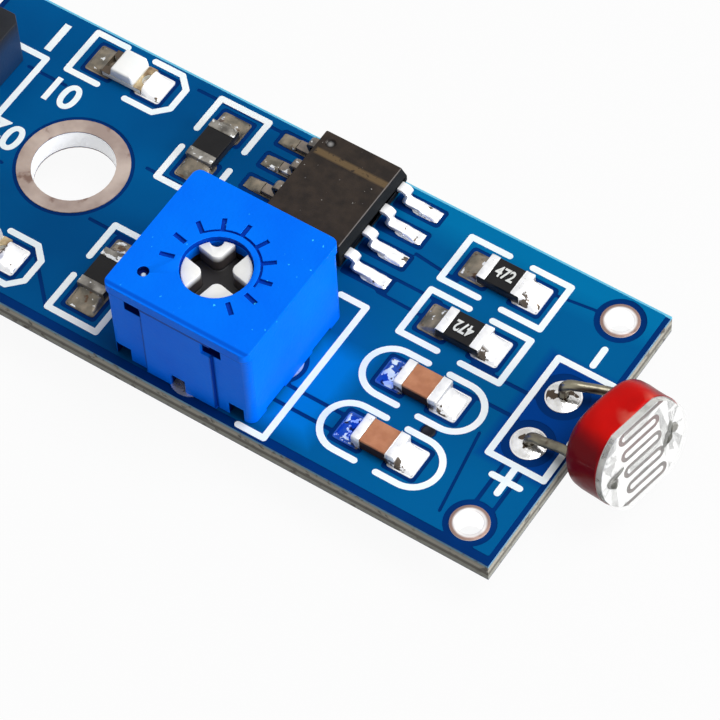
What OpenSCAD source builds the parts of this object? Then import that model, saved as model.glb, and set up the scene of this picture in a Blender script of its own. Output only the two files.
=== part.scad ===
// Light sensor module: a small circuit board with a photocell at one end,
// a comparator chip, a one-turn trimmer, four chip resistors, two chip
// capacitors, two indicator lamps and a three-pin header.
// X runs from the header end to the sensor end, Y across the board, Z up.
// The origin is on the axis of the mounting hole, on the board's underside.

/* [Board] */
// Length of the board along X
board_l = 32; // [31.5:0.5:40]
// Width of the board along Y
board_w = 13.5; // [13.5:0.25:18]
// Thickness of the laminate
board_t = 1.0; // [0.8:0.1:1.6]
// Distance from the sensor end of the board to the mounting hole's axis
hole_inset = 24.4; // [24:0.1:24.8]
// Distance of the mounting hole's axis from the board's centre line
hole_offset = 0.25; // [0:0.05:0.4]
// Distance of the rows of parts from the board's long edges
edge_row = 2.1; // [2:0.05:2.2]
// Distance of the small plated holes from the board's long edges
corner_hole_edge = 1.25; // [1.2:0.05:1.5]
// Distance of the small plated holes and the photocell's holes from the sensor end
end_row = 1.62; // [1.5:0.02:1.8]
// Radius of the open mounting hole
mount_r = 1.75; // [1.5:0.05:1.8]
// Radius of the tinned rings round the mounting hole
mount_ring_r = 2.35; // [2.2:0.05:2.4]
// Radius of the small plated holes beside the photocell
corner_hole_r = 0.52; // [0.4:0.02:0.6]
// Radius of the rings round the small plated holes
corner_ring_r = 0.8; // [0.75:0.01:0.9]
// Thickness of the copper lands and rings on the board's faces
copper_t = 0.04; // [0.03:0.01:0.08]
// Wall of the plating inside the holes
plating_wall = 0.05; // [0.04:0.01:0.08]
// Length of every wire tail below the board
tail_l = 1.6; // [1.2:0.1:2.5]

/* [Marking ink] */
// Width of a printed line
ink_w = 0.28; // [0.2:0.02:0.34]
// Thickness of the printed ink
ink_t = 0.03; // [0.02:0.01:0.05]

/* [Comparator] */
// Distance of the comparator's centre from the sensor end
chip_inset = 14.15; // [14:0.05:14.3]
// Gap between the comparator and the board's far edge
chip_edge = 0.3; // [0.25:0.05:0.5]
// Size of the moulded body across the lead rows
chip_w = 3.9; // [3.7:0.05:4.1]
// Size of the moulded body along a lead row
chip_l = 4.9; // [4.7:0.05:5.1]
// Thickness of the moulded body
chip_h = 1.42; // [1.3:0.02:1.6]
// Gap between the body and the board
chip_standoff = 0.15; // [0.1:0.01:0.25]
// Distance between lead tips of the two rows
chip_span = 6.0; // [5.8:0.05:6.2]
// Distance between neighbouring leads
lead_pitch = 1.27; // [1.25:0.01:1.27]
// Width of a lead
lead_w = 0.46; // [0.35:0.01:0.5]
// Thickness of a lead
lead_t = 0.2; // [0.15:0.01:0.25]
// Length of a lead's foot
foot_l = 0.62; // [0.5:0.02:0.7]

/* [Chip resistors and capacitors] */
// Length of a chip part
chip_part_l = 2.0; // [1.9:0.05:2.1]
// Width of a chip part
chip_part_w = 1.25; // [1.15:0.05:1.3]
// Height of a chip resistor
resistor_h = 0.52; // [0.4:0.02:0.6]
// Height of a chip capacitor
capacitor_h = 0.65; // [0.6:0.05:0.9]
// Length of a metal end
end_l = 0.4; // [0.3:0.02:0.5]
// Thickness of the metal on an end
end_t = 0.03; // [0.02:0.01:0.05]
// Distance of the row by the photocell from the sensor end
row_inset = 6.42; // [6.4:0.02:6.6]
// Distance of the two crosswise resistors from the mounting hole's axis
cross_inset = 4.35; // [4.2:0.05:4.4]
// Height of an indicator lamp's base
lamp_base_h = 0.3; // [0.25:0.05:0.4]
// Height of an indicator lamp's lens
lamp_lens_h = 0.5; // [0.4:0.05:0.6]

/* [Photocell] */
// Diameter of the coated disc
cell_d = 4.8; // [4.7:0.05:5.1]
// Distance between the two flats of the coated disc
cell_flats = 4.2; // [4.1:0.05:4.4]
// Depth of the photocell from its face to its back
cell_depth = 2.1; // [1.9:0.05:2.15]
// Depth of the red coating's rim behind the face
rim_gap = 0.26; // [0.2:0.02:0.4]
// Thickness of the red coating round the ceramic disc
coat_t = 0.1; // [0.08:0.01:0.14]
// Thickness of the ceramic disc
ceramic_t = 1.2; // [1.0:0.05:1.3]
// Thickness of the clear layer over the face
window_t = 0.12; // [0.1:0.02:0.2]
// Distance of the face from the sensor end of the board
cell_reach = 2.68; // [2.66:0.02:3]
// Height of the face's centre above the board's top
cell_height = 1.1; // [1.05:0.05:1.3]
// Turn of the face about Z
cell_yaw = 11; // [8:1:12]
// Upward tilt of the face
cell_tilt = 10; // [8:1:11]
// Diameter of a photocell wire
cell_wire_d = 0.46; // [0.4:0.02:0.5]
// Distance between the wires in the disc
cell_wire_pitch = 3.4; // [3.3:0.05:3.5]
// Distance between the photocell's two holes in the board
cell_hole_pitch = 2.54; // [2.5:0.01:2.6]

/* [Trimmer] */
// Distance of the trimmer's centre from the sensor end
pot_inset = 14.4; // [14.3:0.05:14.5]
// Gap between the trimmer and the board's near edge
pot_edge = 0.36; // [0.3:0.02:0.45]
// Size of the trimmer along X
pot_x = 6.7; // [6.6:0.05:6.9]
// Size of the trimmer along Y
pot_y = 6.5; // [6.4:0.05:6.6]
// Height of the trimmer
pot_h = 4.8; // [4.7:0.05:5.2]
// Height of the rim band round the top
pot_band = 0.5; // [0.4:0.05:0.6]
// Distance of the rotor's axis from the trimmer's middle, towards the board's near edge
pot_shift = 0.3; // [0.2:0.02:0.3]
// Radius of the rotor's visible head
rotor_r = 1.4; // [1.35:0.05:1.45]
// Clearance between the rotor and its opening
rotor_gap = 0.05; // [0.04:0.01:0.1]
// Radius of the rotor's hidden flange
flange_r = 2.3; // [2.2:0.05:2.35]
// Width of the driver slots in the rotor
slot_w = 0.68; // [0.5:0.02:0.7]
// Depth of the driver slots
slot_depth = 0.9; // [0.6:0.05:0.9]
// Turn of the driver slots about Z
slot_turn = -11; // [-20:1:20]
// Diameter of a trimmer wire
pot_wire_d = 0.5; // [0.45:0.01:0.55]
// Distance from the trimmer's centre to each wire
pot_wire_reach = 2.54; // [2.5:0.01:2.54]

/* [Header] */
// Distance of the header's pin row from the header end of the board
header_edge = 1.4; // [1.35:0.05:1.5]
// Distance of the middle pin from the centre line
header_side = 0.1; // [0:0.05:0.2]
// Distance between neighbouring pins
header_pitch = 2.54; // [2.54:0.01:2.6]
// Width and height of the black strip
header_strip = 2.5; // [2.4:0.05:2.54]
// Side of a square pin
pin_w = 0.64; // [0.6:0.01:0.66]
// Length of a pin above the strip
pin_up = 6.0; // [5.5:0.1:8]

/* [Hidden] */

eps = 0.01;
smooth = 48;
small_fn = 20;

// Board edges and frame
board_right = hole_inset;
board_left = board_right - board_l;
mid_y = -hole_offset;
far_y = mid_y + board_w / 2;
near_y = mid_y - board_w / 2;
top_z = board_t;
land_z = top_z + copper_t;
tail_z = -tail_l;

// Distance of the outermost printed lines from the board's edges
edge_gap = ink_w / 2 + 0.1;

// Hole radii in the laminate
wire_clearance = 0.16;
cell_hole_r = cell_wire_d / 2 + wire_clearance;
pot_hole_r = pot_wire_d / 2 + wire_clearance;
pin_hole_r = pin_w * 0.75 + 0.04;
wire_ring = 0.36;
header_ring = 0.33;
via_r = 0.19;

// Places of the holes, as [x, y]
header_pins = 3;
cell_x = board_right - end_row;
cell_holes = [for (s = [1, -1]) [cell_x, mid_y + s * cell_hole_pitch / 2]];
corner_holes = [[cell_x, far_y - corner_hole_edge], [cell_x, near_y + corner_hole_edge]];
header_x = board_left + header_edge;
header_mid = [header_x, mid_y + header_side];
header_holes = [for (i = [-1:1]) [header_x, header_mid.y - i * header_pitch]];
pot_c = [board_right - pot_inset, near_y + pot_edge + pot_y / 2];
pot_axis = pot_c - [0, pot_shift];
pot_holes = [for (a = [90, 0, -90]) pot_c + pot_wire_reach * [cos(a), sin(a)]];
chip_c = [board_right - chip_inset, far_y - chip_edge - chip_l / 2];
row_x = board_right - row_inset;
row_pitch = (board_w - 2 * edge_row) / 3 - 0.1;
row_y = far_y - edge_row;
via_c = [row_x + 1.2, row_y - 2.5 * row_pitch];

// Chip parts, as [x, y, turn]: the first two resistors and both capacitors
// stand in one row, the other two resistors lie across the board
cross_x = cross_inset;
cross_far = 2.8;
cross_near = 3.15;
resistor_spots = [
    [row_x, row_y, 0],
    [row_x, row_y - row_pitch, 0],
    [cross_x, far_y - cross_far, 90],
    [cross_x, near_y + cross_near, 90]
];
capacitor_spots = [for (k = [2, 3]) [row_x, row_y - k * row_pitch, 0]];
lamp_x = -0.75;
lamp_far = 1.45;
lamp_near = 1.9;
lamp_spots = [[lamp_x, far_y - lamp_far, 0], [lamp_x, near_y + lamp_near, 0]];
chip_part_spots = concat(resistor_spots, capacitor_spots, lamp_spots);

// Land sizes of the chip parts
land_in = 0.65;
land_out = 1.85;
land_w = 1.38;
part_z = land_z;

// Levels inside the trimmer, above the board
wall_top = 0.85;
cavity_r = flange_r + 0.12;
base_z = 0.35;
element_z = base_z + 0.55;
plate_t = 0.6;
plate_gap = 0.03;
wiper_z = element_z + plate_t + plate_gap;
wiper_t = 0.12;
rotor_z = wiper_z + 0.35;
rotor_top = pot_h - 0.22;
flange_top = pot_h - wall_top - 0.5;
wiper_r = rotor_r + 0.55;
wiper_hole_r = rotor_r - 0.15;
seal_r = flange_r - 0.25;
element_x = pot_x - 0.9;
element_y = pot_y - 0.76;

// Comparator lead heights above the board
lead_exit_z = chip_standoff + chip_h / 2 - lead_t / 2;
stub_l = 0.35;
shoulder_l = 0.2;

// Photocell placing: the local frame has X along the wires' row, Y up the
// face and Z out of the face, with its origin at the face's centre
cell_face = [board_right + cell_reach, mid_y + 0.05, top_z + cell_height];
function yawed(p) = [
    p.x * cos(cell_yaw) + p.y * sin(cell_yaw),
    -p.x * sin(cell_yaw) + p.y * cos(cell_yaw),
    p.z
];
function tilted(p) = [
    p.x * cos(cell_tilt) - p.z * sin(cell_tilt),
    p.y,
    p.x * sin(cell_tilt) + p.z * cos(cell_tilt)
];
function from_cell(p) = cell_face + yawed(tilted([p.z, p.x, p.y]));
film_t = 0.03;
wire_end = 0.1;
cell_wire_rise = [0.95, 0.62];
disc_r = cell_d / 2 - coat_t;
disc_flats = cell_flats / 2 - coat_t;
track_w = 0.2;
track_pitch = 0.47;
track_margin = 0.12;
track_loops = round((disc_flats - track_margin) / track_pitch);
track_half = cell_d * 0.16;
track_step = (disc_flats - track_margin) / track_loops;

module place_cell() {
    translate(cell_face)
        rotate([0, 0, -cell_yaw])
            rotate([0, -cell_tilt, 0])
                rotate([90, 0, 90])
                    children();
}

// A disc outline with two flats, above and below
module flatted(r, flat) {
    intersection() {
        circle(r, $fn = 64);
        square([2 * r + 1, 2 * flat], center = true);
    }
}

// A plated hole: barrel with a ring on each face
module plated_hole(c, r, ring_r) {
    translate([c.x, c.y, -copper_t])
        difference() {
            union() {
                cylinder(r = ring_r, h = copper_t, $fn = smooth);
                cylinder(r = r + plating_wall, h = board_t + 2 * copper_t, $fn = smooth);
                translate([0, 0, copper_t + board_t])
                    cylinder(r = ring_r, h = copper_t, $fn = smooth);
            }
            translate([0, 0, -1])
                cylinder(r = r, h = board_t + 2, $fn = smooth);
        }
}

module hole_in_laminate(c, r) {
    translate([c.x, c.y, -1])
        cylinder(r = r + plating_wall, h = board_t + 2, $fn = smooth);
}

module circuit_board() {
    color([0.02, 0.27, 0.5])
        difference() {
            translate([board_left, mid_y - board_w / 2, 0])
                cube([board_l, board_w, board_t]);
            hole_in_laminate([0, 0], mount_r - plating_wall);
            for (c = corner_holes)
                hole_in_laminate(c, corner_hole_r);
            for (c = cell_holes)
                hole_in_laminate(c, cell_hole_r);
            for (c = header_holes)
                hole_in_laminate(c, pin_hole_r);
            for (c = pot_holes)
                hole_in_laminate(c, pot_hole_r);
            hole_in_laminate(via_c, via_r - plating_wall);
        }
}

// A flat ring on each face, open as wide as the hole
module mounting_hole_rings() {
    color([0.72, 0.69, 0.65])
        for (z = [-copper_t, top_z])
            translate([0, 0, z])
                difference() {
                    cylinder(r = mount_ring_r, h = copper_t, $fn = smooth);
                    translate([0, 0, -1])
                        cylinder(r = mount_r, h = 2, $fn = smooth);
                }
}

module corner_hole_plating(i) {
    color([0.82, 0.82, 0.8])
        plated_hole(corner_holes[i], corner_hole_r, corner_ring_r);
}

module sensor_hole_plating() {
    color([0.82, 0.82, 0.8])
        for (c = cell_holes)
            plated_hole(c, cell_hole_r, cell_hole_r + wire_ring);
}

module header_hole_plating() {
    color([0.82, 0.82, 0.8])
        for (c = header_holes)
            plated_hole(c, pin_hole_r, pin_hole_r + header_ring);
}

module trimmer_hole_plating() {
    color([0.82, 0.82, 0.8])
        for (c = pot_holes)
            plated_hole(c, pot_hole_r, pot_hole_r + wire_ring + 0.12);
}

// Two rectangular lands under a chip part
module part_lands(spot) {
    translate([spot.x, spot.y, top_z])
        rotate([0, 0, spot[2]])
            for (s = [1, -1])
                translate([s * (land_in + land_out) / 2, 0, copper_t / 2])
                    cube([land_out - land_in, land_w, copper_t], center = true);
}

module solder_lands() {
    chip_land_l = 1.9;
    chip_land_out = chip_span / 2 + 0.85;
    color([0.8, 0.8, 0.78]) {
        for (spot = chip_part_spots)
            part_lands(spot);
        for (s = [1, -1])
            for (i = [0:3])
                translate([
                    chip_c.x + s * (chip_land_out - chip_land_l / 2),
                    chip_c.y + (i - 1.5) * lead_pitch,
                    top_z + copper_t / 2
                ])
                    cube([chip_land_l, 0.62, copper_t], center = true);
    }
}

// One printed line with rounded ends
module ink_line(a, b) {
    d = b - a;
    translate(a) {
        rotate(atan2(d.y, d.x))
            translate([0, -ink_w / 2])
                square([norm(d), ink_w]);
        circle(d = ink_w, $fn = 16);
        translate(d)
            circle(d = ink_w, $fn = 16);
    }
}

// A run of printed lines through a list of points
module ink_path(points) {
    for (i = [0:len(points) - 2])
        ink_line(points[i], points[i + 1]);
}

// Two facing square brackets round a chip resistor
module ink_resistor(spot) {
    hx = 2.33;
    hy = 1.18;
    gap = 0.55;
    translate([spot.x, spot.y])
        rotate(spot[2])
            for (m = [0, 1])
                mirror([m, 0])
                    ink_path([[gap, hy], [hx, hy], [hx, -hy], [gap, -hy]]);
}

// Half of a round-ended outline
module ink_round_end(hx, hy, gap) {
    ink_path([[gap, hy], [hx - hy, hy]]);
    ink_path([[gap, -hy], [hx - hy, -hy]]);
    translate([hx - hy, 0])
        difference() {
            circle(hy + ink_w / 2, $fn = smooth);
            circle(hy - ink_w / 2, $fn = smooth);
            translate([-2 * hy, 0])
                square(4 * hy, center = true);
        }
}

// Two facing round brackets round a chip capacitor
module ink_capacitor(spot) {
    translate([spot.x, spot.y])
        for (m = [0, 1])
            mirror([m, 0])
                ink_round_end(2.63, 1.15, 0.5);
}

// A square bracket and a soft-cornered one round an indicator lamp
module ink_lamp(spot) {
    hx = 2.42;
    hy = 1.12;
    corner = 0.55;
    translate([spot.x, spot.y]) {
        ink_path([[-0.9, hy], [-hx, hy], [-hx, -hy], [-0.9, -hy]]);
        ink_path([
            [0.5, hy], [hx - corner, hy], [hx, hy - corner],
            [hx, corner - hy], [hx - corner, -hy], [0.5, -hy]
        ]);
    }
}

module printed_outlines() {
    box_x = cell_x - 1.12;
    box_end = board_right - edge_gap;
    box_top = cell_holes[0].y + 1.45;
    box_bottom = cell_holes[1].y - 1.15;
    pot_right = pot_c.x + pot_x / 2 + 0.6;
    pot_top = pot_c.y + pot_y / 2 + 0.61;
    pot_bottom = near_y + edge_gap;
    pot_return = 1.2;
    header_right = header_x + header_strip / 2 + 0.75;
    header_half = header_pins * header_pitch / 2 + edge_gap;
    header_left = board_left + edge_gap;
    color([0.92, 0.97, 1])
        translate([0, 0, top_z])
            linear_extrude(ink_t) {
                ink_resistor(resistor_spots[0]);
                ink_resistor(resistor_spots[1]);
                ink_resistor(resistor_spots[2]);
                ink_resistor(resistor_spots[3]);
                for (spot = capacitor_spots)
                    ink_capacitor(spot);
                for (spot = lamp_spots)
                    ink_lamp(spot);
                ink_path([
                    [box_end, box_top], [box_x, box_top], [box_x, box_bottom],
                    [box_end, box_bottom], [box_end, box_top]
                ]);
                ink_path([
                    [pot_right - pot_return, pot_top], [pot_right, pot_top],
                    [pot_right, pot_bottom], [pot_right - pot_return, pot_bottom]
                ]);
                ink_path([
                    [header_left, header_mid.y + header_half], [header_right, header_mid.y + header_half],
                    [header_right, header_mid.y - header_half], [header_left, header_mid.y - header_half]
                ]);
            }
}

// Moulded chip body with drafted faces, lead pockets and a pin-one dimple
module comparator_body() {
    draft = 0.16;
    mid_h = 0.24;
    dimple_r = 0.2;
    dimple_depth = 0.06;
    half = (chip_h - mid_h) / 2;
    color([0.09, 0.09, 0.1])
        difference() {
            translate([chip_c.x, chip_c.y, top_z + chip_standoff]) {
                hull() {
                    translate([0, 0, eps / 2])
                        cube([chip_w - 2 * draft, chip_l - 2 * draft, eps], center = true);
                    translate([0, 0, half + mid_h / 2])
                        cube([chip_w, chip_l, mid_h], center = true);
                    translate([0, 0, chip_h - eps / 2])
                        cube([chip_w - 2 * draft, chip_l - 2 * draft, eps], center = true);
                }
            }
            for (i = [0:7])
                lead_frame(i)
                    translate([-stub_l, -lead_w / 2, lead_exit_z])
                        cube([stub_l + eps, lead_w, lead_t]);
            translate([chip_c.x - 1.3, chip_c.y + 1.8, top_z + chip_standoff + chip_h - dimple_depth])
                cylinder(r = dimple_r, h = 1, $fn = smooth);
        }
}

// Local frame of one comparator lead: X out of the body's side face
module lead_frame(i) {
    s = i < 4 ? 1 : -1;
    y = (i % 4 - 1.5) * lead_pitch;
    translate([chip_c.x + s * chip_w / 2, chip_c.y - s * y, top_z])
        rotate([0, 0, s > 0 ? 0 : 180])
            children();
}

// Points of an arc about c from angle a to angle b
function arc(c, r, a, b, n = 5) = [
    for (i = [0:n])
        let (t = a + (b - a) * i / n)
            c + r * [cos(t), sin(t)]
];

// Gull-wing lead: a bent strip drawn from the side
module comparator_lead(i) {
    reach = (chip_span - chip_w) / 2;
    bend = 0.13;
    slope = 18;
    foot_z = copper_t + 0.01;
    down_x = shoulder_l + bend;
    foot_x = reach - foot_l;
    upper = lead_exit_z + lead_t;
    outer = bend + lead_t;
    side = concat(
        [[-stub_l, lead_exit_z], [-stub_l, upper]],
        arc([down_x - bend, lead_exit_z - bend], outer, 90, slope),
        arc([foot_x + bend * 0.6, foot_z + lead_t + bend], bend, 180 + slope, 270),
        [[reach, foot_z + lead_t], [reach, foot_z]],
        arc([foot_x + bend * 0.6, foot_z + outer], outer, 270, 180 + slope),
        arc([down_x - bend, lead_exit_z - bend], bend, slope, 90)
    );
    color([0.85, 0.85, 0.86])
        lead_frame(i - 1)
            translate([0, lead_w / 2, 0])
                rotate([90, 0, 0])
                    linear_extrude(lead_w)
                        polygon(side);
}

// Block from which a chip part's body is cut, centred on its own middle
module part_block(h, inset) {
    translate([0, 0, h / 2])
        cube([chip_part_l - 2 * inset, chip_part_w, h - 2 * inset], center = true);
}

module place_part(spot) {
    translate([spot.x, spot.y, part_z])
        rotate([0, 0, spot[2]])
            children();
}

module resistor_body(i) {
    color([0.08, 0.08, 0.09])
        place_part(resistor_spots[i - 1])
            part_block(resistor_h, end_t);
}

// Metal ends that wrap over the top and bottom of a resistor
module resistor_ends(i) {
    color([0.85, 0.85, 0.83])
        place_part(resistor_spots[i - 1])
            difference() {
                for (s = [1, -1])
                    translate([s * (chip_part_l - end_l) / 2, 0, resistor_h / 2])
                        cube([end_l, chip_part_w, resistor_h], center = true);
                part_block(resistor_h, end_t);
            }
}

module capacitor_body(i) {
    color([0.68, 0.45, 0.31])
        place_part(capacitor_spots[i - 1])
            translate([0, 0, capacitor_h / 2])
                cube(
                    [chip_part_l - 2 * end_t, chip_part_w - 2 * end_t, capacitor_h - 2 * end_t],
                    center = true
                );
}

// Metal caps that wrap round all five sides of a capacitor's end
module capacitor_ends(i) {
    color([0.85, 0.85, 0.83])
        place_part(capacitor_spots[i - 1])
            translate([0, 0, capacitor_h / 2])
                difference() {
                    for (s = [1, -1])
                        translate([s * (chip_part_l - end_l) / 2, 0, 0])
                            cube([end_l, chip_part_w, capacitor_h], center = true);
                    cube(
                        [chip_part_l - 2 * end_t, chip_part_w - 2 * end_t, capacitor_h - 2 * end_t],
                        center = true
                    );
                }
}

// Lamp base with a quarter-round notch in the middle of each end
module lamp_base(i) {
    color([0.9, 0.9, 0.86])
        place_part(lamp_spots[i - 1])
            difference() {
                translate([0, 0, lamp_base_h / 2])
                    cube([chip_part_l - 2 * end_t, chip_part_w, lamp_base_h - 2 * end_t], center = true);
                for (s = [1, -1])
                    translate([s * chip_part_l / 2, 0, -eps])
                        cylinder(r = 0.3, h = 1, $fn = smooth);
            }
}

// Gold-coloured ends of a lamp, cut by the same notch
module lamp_ends(i) {
    color([0.8, 0.72, 0.45])
        place_part(lamp_spots[i - 1])
            difference() {
                for (s = [1, -1])
                    translate([s * (chip_part_l - end_l) / 2, 0, lamp_base_h / 2])
                        cube([end_l, chip_part_w, lamp_base_h], center = true);
                translate([0, 0, lamp_base_h / 2])
                    cube([chip_part_l - 2 * end_t, chip_part_w + 1, lamp_base_h - 2 * end_t], center = true);
                for (s = [1, -1])
                    translate([s * chip_part_l / 2, 0, -eps])
                        cylinder(r = 0.3, h = 1, $fn = smooth);
            }
}

// Clear lens with leaning ends, standing on the lamp's base
module lamp_lens(i) {
    foot = (chip_part_l - 2 * end_l) / 2;
    head = foot - 0.1;
    color([0.94, 0.96, 0.96])
        place_part(lamp_spots[i - 1])
            translate([0, chip_part_w / 2, lamp_base_h - end_t])
                rotate([90, 0, 0])
                    linear_extrude(chip_part_w)
                        polygon([[-foot, 0], [foot, 0], [head, lamp_lens_h], [-head, lamp_lens_h]]);
}

// Winding line between the two electrodes, as one flat figure
module track_figure() {
    n = 2 * track_loops + 1;
    y0 = -track_step * track_loops;
    for (i = [0:n - 1]) {
        translate([-track_half, y0 + i * track_step - track_w / 2])
            square([2 * track_half, track_w]);
        if (i < n - 1) {
            side = i % 2 == 0 ? 1 : -1;
            translate([side * track_half, y0 + (i + 0.5) * track_step])
                difference() {
                    circle((track_step + track_w) / 2, $fn = small_fn);
                    circle((track_step - track_w) / 2, $fn = small_fn);
                    translate([-side * 2, 0])
                        square(4, center = true);
                }
        }
    }
    for (s = [1, -1])
        translate([s * (track_half + 1), -s * y0])
            square([2, track_w], center = true);
}

module photocell_disc() {
    color([0.93, 0.92, 0.88])
        place_cell()
            difference() {
                translate([0, 0, -ceramic_t - film_t])
                    linear_extrude(ceramic_t)
                        flatted(disc_r, disc_flats);
                wire_bores();
            }
}

// The two holes through the disc, its films and its coating
module wire_bores() {
    for (s = [1, -1])
        translate([s * cell_wire_pitch / 2, 0, -cell_depth - 1])
            cylinder(d = cell_wire_d, h = cell_depth + 2, $fn = small_fn);
}

module photocell_electrodes() {
    color([0.78, 0.78, 0.78])
        place_cell()
            difference() {
                translate([0, 0, -film_t])
                    linear_extrude(film_t)
                        difference() {
                            flatted(disc_r, disc_flats);
                            track_figure();
                        }
                wire_bores();
            }
}

module photocell_track() {
    color([0.45, 0.37, 0.33])
        place_cell()
            translate([0, 0, -film_t])
                linear_extrude(film_t)
                    intersection() {
                        flatted(disc_r, disc_flats);
                        track_figure();
                    }
}

// Red coating: a cup with a rounded back rim and cut corners along its flats, whose rim
// stays a little behind the face
module photocell_coating() {
    round = 0.5;
    cut = 0.45;
    flat = cell_flats / 2;
    color([0.75, 0.06, 0.03])
        place_cell()
            difference() {
                intersection() {
                    translate([0, 0, -cell_depth])
                        rotate_extrude($fn = 64)
                            polygon(concat(
                                [[0, 0]],
                                arc([cell_d / 2 - round, round], round, -90, 0),
                                [[cell_d / 2, cell_depth - rim_gap], [0, cell_depth - rim_gap]]
                            ));
                    rotate([90, 0, 90])
                        translate([0, 0, -cell_d])
                            linear_extrude(2 * cell_d)
                                polygon([
                                    [-flat, 0], [-flat, cut - cell_depth], [cut - flat, -cell_depth - 0.1],
                                    [flat - cut, -cell_depth - 0.1], [flat, cut - cell_depth], [flat, 0]
                                ]);
                }
                translate([0, 0, -ceramic_t - film_t])
                    linear_extrude(ceramic_t + 1)
                        flatted(disc_r, disc_flats);
                wire_bores();
            }
}

// Clear cap over the face, down to the red rim
module photocell_window() {
    inset = 0.03;
    color([0.9, 0.92, 0.9])
        place_cell()
            difference() {
                translate([0, 0, -rim_gap])
                    linear_extrude(rim_gap + window_t)
                        flatted(cell_d / 2 - inset, cell_flats / 2 - inset);
                translate([0, 0, -rim_gap - 1])
                    linear_extrude(rim_gap + 1)
                        flatted(disc_r, disc_flats);
                for (s = [1, -1])
                    translate([s * cell_wire_pitch / 2, 0, -1])
                        cylinder(d = cell_wire_d, h = 1 + wire_end, $fn = small_fn);
            }
}

// Unit vector and the direction of a route at its point i
function unit(v) = v / norm(v);
function tangent(p, i) =
    i == 0 ? unit(p[1] - p[0]) :
    i == len(p) - 1 ? unit(p[i] - p[i - 1]) :
    unit(unit(p[i] - p[i - 1]) + unit(p[i + 1] - p[i]));

// Round wire of diameter d swept along a list of points
module wire(p, d) {
    n = 16;
    rings = [
        for (i = [0:len(p) - 1])
            let (t = tangent(p, i), a = unit(cross(t, [0, 1, 0])), b = cross(t, a))
                for (k = [0:n - 1])
                    p[i] + d / 2 * (a * cos(360 * k / n) + b * sin(360 * k / n))
    ];
    last = len(p) - 1;
    polyhedron(rings, concat(
        [[for (k = [0:n - 1]) n - 1 - k]],
        [for (i = [0:last - 1]) for (k = [0:n - 1])
            [i * n + k, i * n + (k + 1) % n, (i + 1) * n + (k + 1) % n, (i + 1) * n + k]],
        [[for (k = [0:n - 1]) last * n + k]]
    ));
}

// Point t of the curve from a to d whose ends point along b - a and d - c
function bezier(a, b, c, d, t) =
    pow(1 - t, 3) * a + 3 * t * pow(1 - t, 2) * b + 3 * t * t * (1 - t) * c + pow(t, 3) * d;

// Photocell wire: straight out of the disc's back, in a curve to its hole's
// axis, down through the board and out below
module photocell_wire(i) {
    s = i == 0 ? 1 : -1;
    hole = cell_holes[i];
    run_z = top_z + cell_wire_rise[i];
    bend = 0.4;
    side = s * cell_wire_pitch / 2;
    start = from_cell([side, 0, wire_end]);
    exit = from_cell([side, 0, -cell_depth - 0.15]);
    lead = from_cell([side, 0, -cell_depth - 0.9]);
    top = [hole.x, hole.y, run_z];
    out = unit([exit.x - hole.x, exit.y - hole.y, 0]);
    knee = top + bend * out;
    curve = [for (t = [0.125:0.125:0.875]) bezier(exit, lead, knee + 0.7 * out, knee, t)];
    elbow = [for (a = [0:15:90]) top + out * bend * (1 - sin(a)) - [0, 0, bend * (1 - cos(a))]];
    color([0.62, 0.6, 0.56])
        wire(concat([start, exit], curve, elbow, [[hole.x, hole.y, tail_z]]), cell_wire_d);
}

// Trimmer housing: open below, with a round opening above for the rotor,
// a rim band, raised middle panels and small notches in two sides
module trimmer_housing() {
    step = 0.12;
    panel = 3.3;
    foot_notch = [0.7, 0.9, 0.75];
    eye_notch = [0.85, 1.2, 0.65];
    eye_drop = 0.1;
    body_y = pot_y - 2 * step;
    corner = 0.35;
    color([0.0, 0.42, 0.95])
        translate([pot_c.x, pot_c.y, land_z])
            difference() {
                union() {
                    translate([0, 0, pot_h - pot_band])
                        rounded_block(pot_x, pot_y, pot_band, corner);
                    rounded_block(pot_x, body_y, pot_h, corner);
                    for (s = [1, -1])
                        translate([0, s * (body_y + step) / 2, (pot_h - pot_band) / 2])
                            cube([panel, step, pot_h - pot_band], center = true);
                }
                translate([0, -pot_shift, -eps])
                    cylinder(r = rotor_r + rotor_gap, h = pot_h + 1, $fn = 64);
                translate([0, -pot_shift, -eps])
                    cylinder(r = cavity_r, h = pot_h - wall_top + eps, $fn = 64);
                translate([0, 0, (wiper_z - plate_gap - eps) / 2])
                    cube([element_x, element_y, wiper_z - plate_gap + eps], center = true);
                for (s = [1, -1]) {
                    for (x = [-2.8, -0.15, 2.55])
                        translate([x, s * pot_y / 2, 0])
                            cube([foot_notch.x, foot_notch.y, 2 * foot_notch.z], center = true);
                    for (x = [-2.03, 1.63])
                        translate([x, s * pot_y / 2, pot_h - pot_band - eye_drop - eye_notch.z / 2])
                            cube(eye_notch, center = true);
                    for (y = [-1.6, 1.6])
                        translate([s * pot_x / 2, y, 0])
                            cube([0.6, 1.3, 0.3], center = true);
                }
                dial_marks();
            }
}

// A block with round upright corners, standing on its base
module rounded_block(x, y, h, r) {
    translate([0, 0, h / 2]) {
        cube([x - 2 * r, y, h], center = true);
        cube([x, y - 2 * r, h], center = true);
        for (sx = [1, -1])
            for (sy = [1, -1])
                translate([sx * (x / 2 - r), sy * (y / 2 - r), 0])
                    cylinder(r = r, h = h, center = true, $fn = small_fn);
    }
}

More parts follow.
